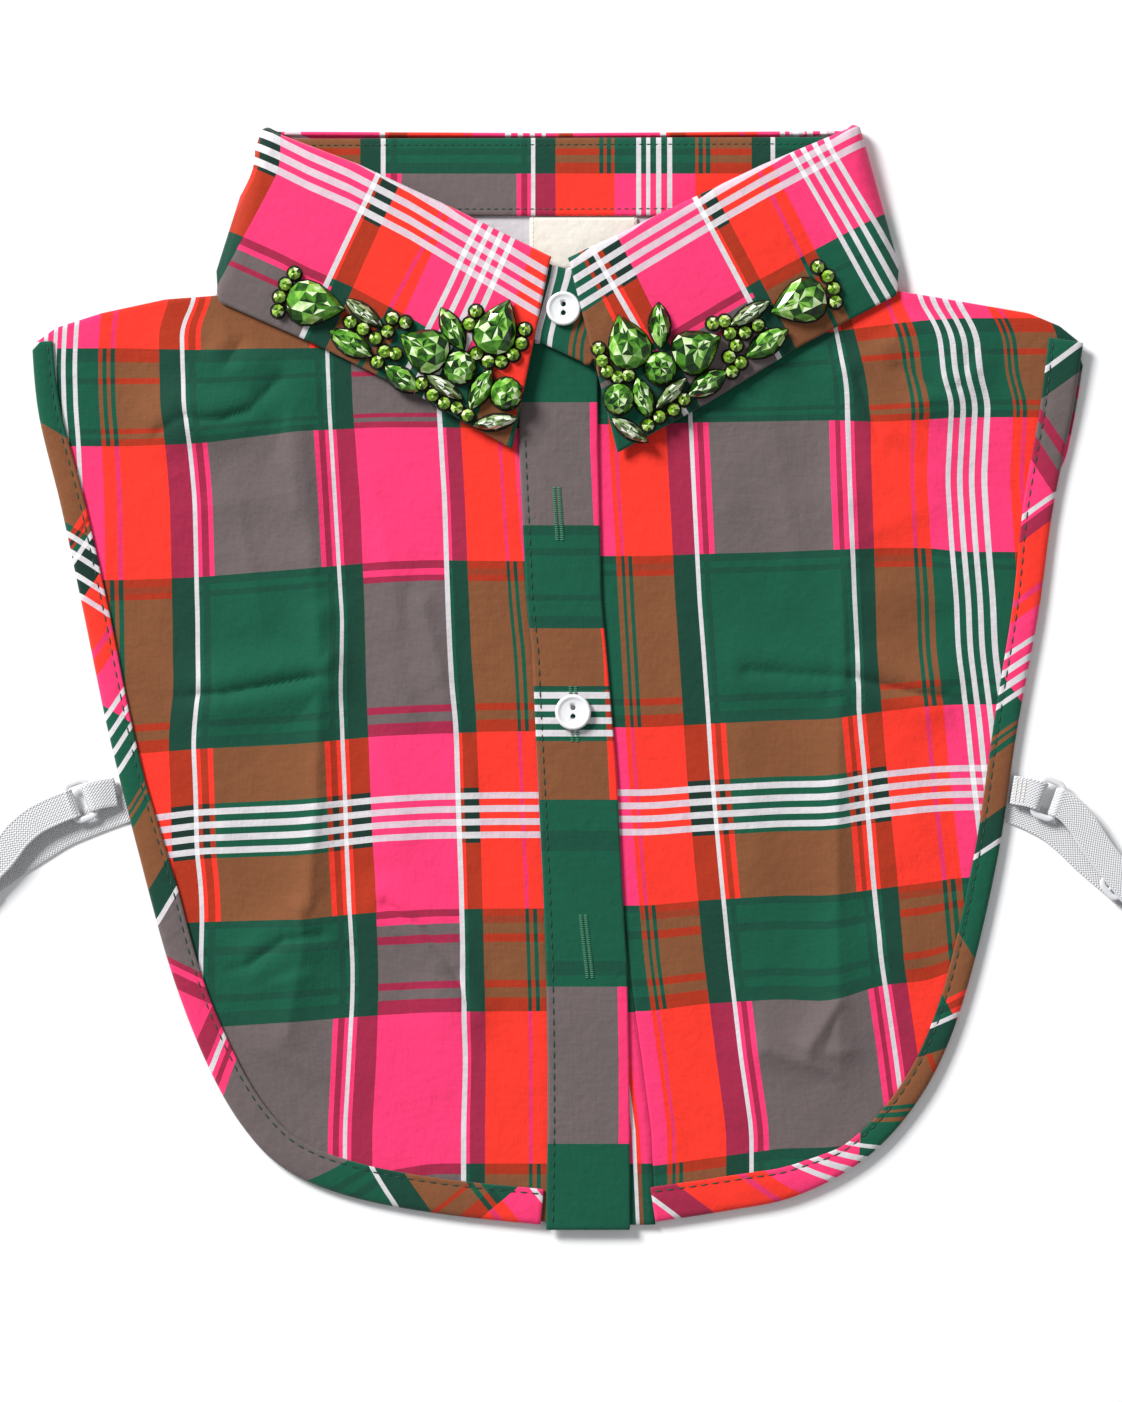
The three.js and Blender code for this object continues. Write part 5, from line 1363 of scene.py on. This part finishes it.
claw_places = {"left": [], "right": []}
for side, stones in STONES.items():
    for number, (cut, x, y, length, width, turn) in enumerate(stones, 1):
        height = STONE_HEIGHT[cut]
        shape, faces, slots, tones = cut_stone(cut, length * 1.02, width * 1.04, height)
        middle = seat(x, y)
        placed = []
        for along, over, z in shape:
            px, py = turned(along, over, (x, y, turn))
            placed.append((px, py, seat(px, py, middle) + z))
        glass = PALE_GLASS if cut == "marquise" and width < PALE_WIDTH else GREEN_GLASS
        stone = add_mesh(f"glass_{side}_{number}", placed, faces, [glass, DARK_METAL],
                         smooth=False, face_slots=slots)
        set_painted_glints(stone, tones)
        belongs(stone, "green_glass", f"stone_{side}_{number}")
        for k in range(CLAW_COUNT[cut]):
            px, py = turned(*outline_point(cut, (k + 0.5) / CLAW_COUNT[cut], length, width), (x, y, turn))
            claw_places[side].append((px, py, seat(px, py, middle) + height * 0.3, math.atan2(y - py, x - px)))
print("claws:", {side: len(places) for side, places in claw_places.items()})

# %% Painted shade under the stones
def painted_shade_patches(name, side):
    """Thin dark patches on the leaf, painted shade round and between the stones: one under each stone, slightly
    wider than it.
    """
    points, faces = [], []
    outlines = [[outline_point(cut, k / SIDES, length + 1.4, width + 1.8) for k in range(SIDES)]
                + [(x, y, turn)] for cut, x, y, length, width, turn in STONES[side]]
    for centres in CHAINS[side].values():
        outlines += [[outline_point("round", k / SIDES, 5.6, 5.6) for k in range(SIDES)] + [(x, y, 0)]
                     for x, y in centres]
    for number, (*outline, place) in enumerate(outlines):
        middle = seat(*place[:2])
        first = len(points)
        for along, over in [(0.0, 0.0)] + outline:
            px, py = turned(along, over, place)
            points.append((px, py, seat(px, py, middle) + 0.01 + 0.002 * number))
        faces += [(first, first + 1 + k, first + 1 + (k + 1) % SIDES) for k in range(SIDES)]
    return belongs(add_mesh(name, points, faces, [STONE_SHADE_PAINT]), "green_glass")


for side in ("left", "right"):
    painted_shade_patches(f"stone_painted_shade_{side}", side)
print("backing laid")

# %% [markdown]
# ## Claws and cup chain with Geometry Nodes
# The same small claw stands round every stone, and the same small cup with its stone runs along every
# chain. A Geometry Nodes tree copies one shape to each point of a list, turned by an attribute. The
# tree has named inputs for the sizes, and it ends in real geometry with its material set.

# %% Tree tools
def new_tree(name, inputs):
    """A Geometry Nodes tree with a geometry input and named numbers."""
    tree = bpy.data.node_groups.new(name, "GeometryNodeTree")
    tree.interface.new_socket("Geometry", in_out="INPUT", socket_type="NodeSocketGeometry")
    for label, value in inputs.items():
        tree.interface.new_socket(label, in_out="INPUT", socket_type="NodeSocketFloat").default_value = value
    tree.interface.new_socket("Geometry", in_out="OUTPUT", socket_type="NodeSocketGeometry")
    return tree, tree.nodes.new("NodeGroupInput").outputs, tree.nodes.new("NodeGroupOutput").inputs


def finish_tree(tree, instances, material):
    real = node(tree, "GeometryNodeRealizeInstances", {"Geometry": instances})
    return made_of(tree, real.outputs[0], material)


def grow(name, points, tree, values, edges=(), turns=None):
    """Run a tree on a list of points and keep the result as a plain mesh."""
    mesh = bpy.data.meshes.new(name)
    mesh.from_pydata((np.asarray(points, float) * MM).tolist(), list(edges), [])
    if turns is not None:
        layer = mesh.attributes.new("turn", "FLOAT", "POINT")
        layer.data.foreach_set("value", turns)
    piece = linked(name, mesh)
    modifier = piece.modifiers.new("grow", "NODES")
    modifier.node_group = tree
    sockets = {s.name: s.identifier for s in tree.interface.items_tree if s.in_out == "INPUT"}
    for label, value in values.items():
        modifier[sockets[label]] = value
    bpy.context.view_layer.update()
    make_plain(piece)
    return piece


def vector_of(tree, x=0.0, y=0.0, z=0.0):
    return made(tree, "ShaderNodeCombineXYZ", {0: x, 1: y, 2: z})


def shifted(tree, geometry, **values):
    return made(tree, "GeometryNodeTransform", {"Geometry": geometry, **values})


def made_of(tree, geometry, material):
    return node(tree, "GeometryNodeSetMaterial", {"Geometry": geometry, "Material": material}).outputs[0]


def copies_on(tree, geometry, single):
    """A copy of one shape at each point of a list, turned by the point's own attribute."""
    turn = made(tree, "GeometryNodeInputNamedAttribute", {"Name": "turn"}, data_type="FLOAT")
    points = made(tree, "GeometryNodeMeshToPoints", {"Mesh": geometry})
    return made(tree, "GeometryNodeInstanceOnPoints", {
        "Points": points, "Instance": single, "Rotation": vector_of(tree, 0.0, 0.0, turn)})


def joined(tree, *parts):
    both = tree.nodes.new("GeometryNodeJoinGeometry")
    for part in parts:
        link(tree, part, both.inputs[0])
    return both.outputs[0]


# %% Claws
def build_claw_tree():
    tree, inputs, outputs = new_tree("claws", {"Length": 1.9 * MM, "Thickness": 0.62 * MM, "Lean": 0.75})
    claw = made(tree, "GeometryNodeMeshIcoSphere", {"Radius": 0.5, "Subdivisions": 1})
    size = vector_of(tree, inputs["Length"], inputs["Thickness"], inputs["Thickness"])
    lean = vector_of(tree, 0.0, maths(tree, "MULTIPLY", inputs["Lean"], -1.0), 0.0)
    claw = shifted(tree, shifted(tree, claw, Scale=size), Rotation=lean)
    link(tree, finish_tree(tree, copies_on(tree, inputs["Geometry"], claw), CLAW_METAL), outputs[0])
    return tree


CLAW_TREE = build_claw_tree()
for side, places in claw_places.items():
    claws = grow(f"stone_claws_{side}", [p[:3] for p in places], CLAW_TREE, {}, turns=[p[3] for p in places])
    belongs(claws, "green_glass")
print("claw tree ready")


# %% Cup chain
def build_chain_tree():
    tree, inputs, outputs = new_tree("cup_chain", {"Stone diameter": 3.9 * MM, "Stone height": 2.3 * MM,
                                                   "Link thickness": 0.7 * MM})
    diameter, height = inputs["Stone diameter"], inputs["Stone height"]
    radius = maths(tree, "MULTIPLY", diameter, 0.5)
    cup_height = maths(tree, "MULTIPLY", height, 0.5)
    cup = made(tree, "GeometryNodeMeshCone", {
        "Vertices": 10, "Radius Bottom": maths(tree, "MULTIPLY", radius, 0.8), "Radius Top": radius,
        "Depth": cup_height}, fill_type="NGON")
    crown = made(tree, "GeometryNodeMeshCone", {
        "Vertices": 8, "Radius Bottom": maths(tree, "MULTIPLY", radius, 0.96),
        "Radius Top": maths(tree, "MULTIPLY", radius, 0.46), "Depth": maths(tree, "MULTIPLY", height, 0.42)},
        fill_type="TRIANGLE_FAN")
    # Each face of the small stones gets a random tone of painted reflection, stored as facet for the glass.
    tone = node(tree, "FunctionNodeRandomValue", {2: 0.05, 3: 1.0, "Seed": 7}, data_type="FLOAT").outputs[1]
    crown = shifted(tree, crown, Translation=vector_of(tree, 0.0, 0.0, cup_height))
    single = joined(tree, made_of(tree, cup, DARK_METAL), made_of(tree, crown, LIME_GLASS))
    copies = copies_on(tree, inputs["Geometry"], single)
    stones = made(tree, "GeometryNodeRealizeInstances", {"Geometry": copies})
    toned = made(tree, "GeometryNodeStoreNamedAttribute", {"Geometry": stones, "Name": "facet", "Value": tone},
                 data_type="FLOAT", domain="FACE")
    path = made(tree, "GeometryNodeMeshToCurve", {"Mesh": inputs["Geometry"]})
    section = made(tree, "GeometryNodeCurvePrimitiveCircle",
                   {"Resolution": 6, "Radius": maths(tree, "MULTIPLY", inputs["Link thickness"], 0.5)})
    wire = made(tree, "GeometryNodeCurveToMesh", {"Curve": path, "Profile Curve": section})
    whole = joined(tree, toned, made_of(tree, wire, DARK_METAL))
    link(tree, made(tree, "GeometryNodeRealizeInstances", {"Geometry": whole}), outputs[0])
    return tree


CHAIN_TREE = build_chain_tree()
CHAIN_STONE = 4.3
chain_rows = [(f"{side}_{part}", centres) for side, rows in CHAINS.items() for part, centres in rows.items()]
for row_name, centres in chain_rows:
    places = [(x, y, seat(x, y) + 0.6) for x, y in centres]
    row = grow(f"chain_row_{row_name}", places, CHAIN_TREE, {"Stone diameter": CHAIN_STONE * MM},
               edges=[(k, k + 1) for k in range(len(places) - 1)],
               turns=draw.uniform(0, 0.8, len(places)).tolist())
    shade_smooth(row.data, False)
    belongs(row, "green_glass", f"stone_row_{row_name}")
print("chain rows:", len(chain_rows))

# %% [markdown]
# ## Side straps
# Each strap is a flat ribbed elastic. It comes from under the front's edge, folds at its far end, comes
# back over a slider, goes through a small plastic ring and ends at the slider's bar. It is a limp
# ribbon, so its path is a short table of points and its width lies level. The ribs run along it and are
# real ridges; the knit is in the finish, as a bump and as painted shade in the colour.

# %% Elastic finish
KNIT_LENGTH, KNIT_WIDTH = 1.1, 1.02  # of two stitches of the knit


def elastic_material():
    material, tree, shader = new_material("white_elastic", Roughness=0.7, Sheen_Weight=0.15)
    threads = made(tree, "ShaderNodeUVMap", uv_map="threads")
    parts = node(tree, "ShaderNodeSeparateXYZ", {0: threads}).outputs
    knit = maths(tree, "MULTIPLY", wave_of(tree, parts[1], 2 * math.pi / (KNIT_LENGTH * MM)),
                 wave_of(tree, parts[0], 2 * math.pi / (KNIT_WIDTH * MM)))
    # The knit's relief is painted into the colour as well: painted shade, up to a tenth darker.
    tint(tree, shader, screen(221, 221, 223), grey(tree, maths(tree, "MULTIPLY_ADD", knit, 0.05, 0.95)))
    relief = node(tree, "ShaderNodeBump", {"Height": knit, "Strength": 0.6, "Distance": YARN_DEPTH})
    link(tree, relief.outputs["Normal"], shader.inputs["Normal"])
    return material


ELASTIC = elastic_material()
ELASTIC_WIDTH, ELASTIC_THICKNESS = 9.2, 0.85
DOUBLED_HEIGHTS = [1.8] * 6 + [1.85, 3.3, 4.75, 4.72] + [4.7] * 4 + [4.8]
TAB_HEIGHTS = [1.8, 1.8, 1.85, 3.3, 4.75, 4.4, 3.15]


def doubled(way, heights):
    """A way on the table as far as the ring, and back over itself, with a height at each point."""
    return [(x, y, z) for (x, y), z in zip(way + way[-2::-1], heights)]


def lying(*way):
    """A way flat on the table."""
    return [(x, y, 0.53) for x, y in way]


STRAPS = {  # the ring and the slider: x, y, turn in degrees
    "left": {
        "route": doubled([(-195, -67.6), (-186.7, -59.2), (-181, -51.8), (-175.5, -47), (-169.5, -43.9),
                          (-164.7, -41.9), (-163.2, -41.4), (-161.8, -40.9)], DOUBLED_HEIGHTS)
        + [(-199.6, -73.2, 4.2), (-201.4, -75.2, 2.6), (-199.8, -74, 0.9)]
        + lying((-195.4, -70.6), (-189.7, -66.7), (-181.4, -60.8), (-173, -55.3), (-165.3, -50.7),
                (-154, -46), (-142.7, -41.9)),
        "tab": doubled([(-148.4, -37.2), (-153.2, -38), (-156.8, -39), (-158.2, -39.5)], TAB_HEIGHTS),
        "ring": (-160, -40.2, 20), "slider": (-195, -67.6, 46)},
    "right": {
        "route": doubled([(186.7, -66.4), (180.6, -58.6), (176.8, -53.2), (173.6, -48), (169.8, -43.6),
                          (166.9, -41.5), (165.3, -40.8), (163.9, -40.3)], DOUBLED_HEIGHTS)
        + [(193, -74.2, 4.6), (197.2, -79.4, 4.0), (198.8, -81.4, 2.5), (197.2, -80, 0.9)]
        + lying((192, -74.8), (183.7, -67.3), (175.2, -60.0), (168.8, -53.8), (162.6, -48.8),
                (154, -44.4), (146.3, -41.6)),
        "tab": doubled([(150.4, -36.6), (155.4, -37.4), (158.9, -38.4), (160.3, -38.9)], TAB_HEIGHTS),
        "ring": (162.1, -39.6, -20), "slider": (186.7, -66.4, -51)}}
STRAP_TENSION, UPRIGHT = 0.4, 0.35
RIBS = 9


def ribbon_surface(rows, turn, steps=9, across=37):
    """A flat ribbon along a route, its width level and square to the route; at the ring, to turn."""
    rows = [np.asarray(r, float) for r in rows]
    rows = [2 * rows[0] - rows[1], *rows, 2 * rows[-1] - rows[-2]]
    outward = np.array([math.cos(math.radians(turn)), math.sin(math.radians(turn)), 0.0])
    shares = np.linspace(-0.5, 0.5, across)
    section = 0.09 * np.abs(np.cos(shares * math.pi * RIBS)) + 0.12 * (np.abs(shares) > 0.46)
    grid, lengths, travelled, last = [], [], 0.0, None
    for k in range(1, len(rows) - 2):
        for t in np.linspace(0, 1, steps, endpoint=k == len(rows) - 3):
            point, flow = bend(*rows[k - 1:k + 3], t, STRAP_TENSION)
            flow /= np.linalg.norm(flow)
            level = np.array([flow[0], flow[1], 0.0])
            if np.linalg.norm(level) < UPRIGHT:
                level = outward.copy()
            if level @ outward < 0:
                level = -level
            level /= np.linalg.norm(level)
            side = np.array([-level[1], level[0], 0.0])
            if last is not None:
                travelled += np.linalg.norm(point - last)
            last = point
            normal = np.cross(side, flow)
            grid.append(point + side * ELASTIC_WIDTH * shares[:, None] + normal * (section[:, None] - 0.06))
            lengths.append(travelled)
    threads = np.dstack([np.repeat((shares * ELASTIC_WIDTH)[None], len(grid), axis=0),
                         np.repeat(np.asarray(lengths)[:, None], across, axis=1)]) * MM
    return np.stack(grid), threads, travelled


for side, strap in STRAPS.items():
    for part in ("route", "tab"):
        grid, threads, run = ribbon_surface(strap[part], strap["ring"][2])
        label = "elastic" if part == "route" else "tab"
        ribbon = cloth(f"strap_{label}_{side}_ribbon", grid, threads, ELASTIC_THICKNESS, [ELASTIC], face_up=False)
        belongs(ribbon, "white_elastic", f"strap_{label}_{side}")

# %% Rings and sliders
LOOP_BOTTOM, LOOP_THICKNESS = 2.65, 1.3
LOOP_SIZE, LOOP_CORNER = (14.0 - 1.5, 9.4 - 1.4), 2.6  # of the frame's middle line
BAR_REACH, BAR_WIDTH = 6.1, 1.3


def loop_path(across, along, radius, count=12):
    """The middle line of a loop's frame, with round corners; its long side lies along y."""
    path = []
    for cx, cy, start in ((1, 1, 0), (-1, 1, 90), (-1, -1, 180), (1, -1, 270)):
        for k in range(count):
            angle = math.radians(start + 90 * k / (count - 1))
            path.append((cx * (along / 2 - radius) + radius * math.cos(angle),
                         cy * (across / 2 - radius) + radius * math.sin(angle)))
    return path


def tube(path, widths, thickness, closed, sides=12):
    """A rounded bar along a level path."""
    path = np.asarray(path, float)
    ahead = np.roll(path, -1, axis=0) - np.roll(path, 1, axis=0) if closed else np.gradient(path, axis=0)
    ahead /= np.linalg.norm(ahead, axis=1)[:, None]
    side = np.stack([ahead[:, 1], -ahead[:, 0]], axis=1)
    points, faces = [], []
    for place, out, width in zip(path, side, widths):
        for k in range(sides):
            angle = 2 * math.pi * k / sides
            c, s = math.cos(angle), math.sin(angle)
            c, s = (abs(v) ** 0.7 * (1 if v > 0 else -1) for v in (c, s))
            points.append((*(place + out * c * width / 2), s * thickness / 2))
    rings = len(path)
    for r in range(rings if closed else rings - 1):
        for k in range(sides):
            a, b = r * sides, ((r + 1) % rings) * sides
            n = (k + 1) % sides
            faces.append((a + k, b + k, b + n, a + n))
    if not closed:
        faces.append(tuple(range(sides)))
        faces.append(tuple((rings - 1) * sides + k for k in reversed(range(sides))))
    return points, faces


def make_loop(name, place, has_bar, node_name):
    """A ring with one window or a slider with two, its ends swelling into ears."""
    path = loop_path(*LOOP_SIZE, LOOP_CORNER)
    widths = [1.35 + 0.75 * smooth_step((abs(p[1]) - 3.0) / 3.2) for p in path]
    points, faces = tube(path, widths, LOOP_THICKNESS, True)
    if has_bar:
        bar = [(0.0, t) for t in np.linspace(-BAR_REACH, BAR_REACH, 9)]
        more, bar_faces = tube(bar, [BAR_WIDTH] * 9, LOOP_THICKNESS * 0.9, False)
        faces += [tuple(i + len(points) for i in f) for f in bar_faces]
        points += more
    placed = [(*turned(px, py, place), LOOP_BOTTOM + LOOP_THICKNESS / 2 + pz) for px, py, pz in points]
    return belongs(add_mesh(name, placed, faces, [LOOP_PLASTIC]), "white_plastic", node_name)


for side, strap in STRAPS.items():
    make_loop(f"ring_{side}_loop", strap["ring"], False, f"strap_ring_{side}")
    make_loop(f"slider_{side}_loop", strap["slider"], True, f"strap_slider_{side}")
print("loops ready")

# %% [markdown]
# ## Stitching
# Rows of stitches hold the bindings, the placket, the stand and the label, and close crosswise
# stitches edge the buttonholes. Each stitch is a short rounded piece of thread. One Geometry Nodes tree lays
# them along any line on the cloth, at a chosen length and spacing.

# %% Thread and stitch tree
def thread_material(name, colour):
    material, tree, shader = new_material(name, Roughness=0.6)
    tint(tree, shader, colour, uneven(tree, 1800.0, 2.0, 0.75, 1.15))
    return material


GREEN_THREAD = thread_material("green_thread", screen(16, 62, 46))
HOLE_THREAD = thread_material("buttonhole_thread", screen(62, 128, 98))
CREAM_THREAD = thread_material("cream_thread", screen(232, 226, 218))


def build_stitch_tree(name, material):
    tree, inputs, outputs = new_tree(
        name, {"Spacing": 2.6 * MM, "Length": 2.0 * MM, "Thickness": 0.42 * MM, "Across": 0.0})
    path = made(tree, "GeometryNodeMeshToCurve", {"Mesh": inputs["Geometry"]})
    places = node(tree, "GeometryNodeCurveToPoints", {"Curve": path, "Length": inputs["Spacing"]}, mode="LENGTH")
    sideways = made(tree, "ShaderNodeVectorMath", {0: places.outputs["Tangent"], 1: (0.0, 0.0, 1.0)},
                    operation="CROSS_PRODUCT")
    direction = node(tree, "ShaderNodeMix", {0: inputs["Across"], 4: places.outputs["Tangent"], 5: sideways},
                     data_type="VECTOR").outputs[1]
    turn = made(tree, "FunctionNodeAlignEulerToVector", {"Vector": direction}, axis="X")
    stitch = made(tree, "GeometryNodeMeshUVSphere", {"Segments": 6, "Rings": 5, "Radius": 0.5})
    size = vector_of(tree, inputs["Length"], inputs["Thickness"], inputs["Thickness"])
    copies = made(tree, "GeometryNodeInstanceOnPoints", {
        "Points": places.outputs["Points"], "Instance": shifted(tree, stitch, Scale=size),
        "Rotation": turn})
    link(tree, finish_tree(tree, copies, material), outputs[0])
    return tree


STITCH_TREES = {thread.name: build_stitch_tree(f"stitches_{thread.name}", thread)
                for thread in (GREEN_THREAD, HOLE_THREAD, CREAM_THREAD)}


def stitch(name, lines, thread, slot, **sizes):
    """Stitches along one or more lines of points; the sizes are in millimetres, and Across is 0 or 1."""
    sizes = {label: size if label == "Across" else size * MM for label, size in sizes.items()}
    points, edges = [], []
    for line in lines:
        first = len(points)
        points += [tuple(p) for p in line]
        edges += [(k, k + 1) for k in range(first, len(points) - 1)]
    piece = grow(name, points, STITCH_TREES[thread.name], sizes, edges=edges)
    shade_smooth(piece.data)
    return belongs(piece, slot)


print("stitch trees:", list(STITCH_TREES))


# %% Rows of stitches
def raised(points, height=0.02):
    return np.asarray(points) + (0, 0, height)


seam_column = [k for k, row in enumerate(FOLD_SECTION) if row[1] == STITCH_INSET][0]
for side in ("left", "right"):
    top = TOPS[f"binding_{side}_strip"]
    # A wall that was turned face up may have its columns the other way round
    column = seam_column if top[150, 0, 2] > top[150, -1, 2] else top.shape[1] - 1 - seam_column
    stitch(f"stitches_binding_{side}", [raised(top[2:-2, column])], GREEN_THREAD, "plaid_green",
           Spacing=3.8, Length=2.9, Thickness=0.6)
placket_top = TOPS["cloth_placket"]
groove = 2 if placket_top[100, 0, 0] < placket_top[100, -1, 0] else placket_top.shape[1] - 3
stitch("stitches_placket", [raised(placket_top[34:-3, groove])], GREEN_THREAD, "plaid_green",
       Spacing=3.6, Length=2.8, Thickness=0.6)
stand_top = TOPS["cloth_collar_stand"]
stand_under = 2 * stand_grid - stand_top
NECK_BACK, NECK_HEIGHT = 179.5, 3.2  # beyond this and below that, the stand is the back of the neck
back_rows = np.where((stand_sections[:, 0, 1] > NECK_BACK) & (stand_sections[:, 0, 2] < NECK_HEIGHT))[0]
back_face = np.where(stand_top[back_rows][..., 2:].mean() > stand_under[back_rows][..., 2:].mean(),
                     stand_top[back_rows], stand_under[back_rows])
stitch("stitches_stand", [raised(back_face[:, 2]), raised(back_face[:, -3])], GREEN_THREAD, "plaid_red",
       Spacing=2.4, Length=1.7)
label_top = TOPS["neck_label_patch"]
stitch("stitches_label", [raised(label_top[:, 1]), raised(label_top[:, -2])], CREAM_THREAD, "label_tape",
       Spacing=1.5, Length=1.1, Thickness=0.3)
print("stitch rows laid")

# %% Buttonholes and bar tacks
BUTTONHOLES = {  # ends on the chart
    "upper": ((556.6, 488), (559.8, 540)), "lower": ((583, 915), (590, 977)),
    "middle_top": ((573, 687), (573.5, 699)), "middle_bottom": ((575, 728), (575, 741))}


def from_chart(px, py):
    return (px - CHART_CENTRE[0]) / CHART, (CHART_CENTRE[1] - py) / CHART


HOLE_SIDE = 0.85  # of each row of stitches from the slit's middle
hole_lines = []
for (x1, y1), (x2, y2) in BUTTONHOLES.values():
    (ax, ay), (bx, by) = from_chart(x1, y1), from_chart(x2, y2)
    for shift in (-HOLE_SIDE, HOLE_SIDE):
        steps = np.linspace(0, 1, 12)
        line = np.column_stack([ax + (bx - ax) * steps + shift, ay + (by - ay) * steps])
        height = lift(line[:, 1]) + BAND_LEVEL + PLACKET + 0.1
        hole_lines.append(np.column_stack([line, height]))
stitch("stitches_buttonholes", hole_lines, HOLE_THREAD, "plaid_green",
       Spacing=0.62, Length=1.6, Thickness=0.5, Across=1.0)
for side in ("left", "right"):
    bars = [raised(row[4:-4], 0.1) for row in TOPS[f"strap_tab_{side}_ribbon"][-7:-2:2]]
    stitch(f"stitches_tab_{side}", bars, CREAM_THREAD, "white_elastic", Spacing=0.7, Length=0.9, Thickness=0.4)
print("buttonholes:", len(BUTTONHOLES))

# %% [markdown]
# ## The table
# A plain pale surface under everything shows the soft shadows of the cloth.

# %% Table top
table_finish, table_tree, table_shader = new_material("pale_table", Roughness=0.9)
link(table_tree, uneven(table_tree, 90.0, 4.0, 0.93, 0.96), table_shader.inputs["Base Color"])
HALF, TABLE_LEVEL = 1500.0, -0.05
corners = [(x * HALF, y * HALF, TABLE_LEVEL) for x, y in ((-1, -1), (1, -1), (1, 1), (-1, 1))]
table = add_mesh("table_top", corners, [(0, 1, 2, 3)], [table_finish], smooth=False)
print("table laid")

# %% [markdown]
# ## Which pieces are sheets of cloth
# Each cloth piece is declared with the size it was cut to before sewing, so that the frame can test
# that its surface is neither stretched nor crumpled away.

def sheet_size(grid):
    """The cut's two sizes in metres, along the grid's middle lines."""
    middle_row, middle_column = grid[grid.shape[0] // 2], grid[:, grid.shape[1] // 2]
    return (np.linalg.norm(np.diff(middle_row, axis=0), axis=1).sum() * MM,
            np.linalg.norm(np.diff(middle_column, axis=0), axis=1).sum() * MM)


for piece, grid, below in (
        (placket, placket_grid, "cloth_front_left"), (under_placket, under_grid, "cloth_back"),
        (leaf, leaf_grid, "cloth_collar_stand"), (stand, stand_grid, "cloth_back"),
        (patch, patch_grid, "cloth_back")):
    width, length = sorted(sheet_size(grid))

# %% Solids still showing, and the end
for shown in bpy.context.scene.objects:
    if shown.type == "MESH" and not shown.hide_render and shown.name in frame["nodes"]:
        print("solid still showing:", shown.name)
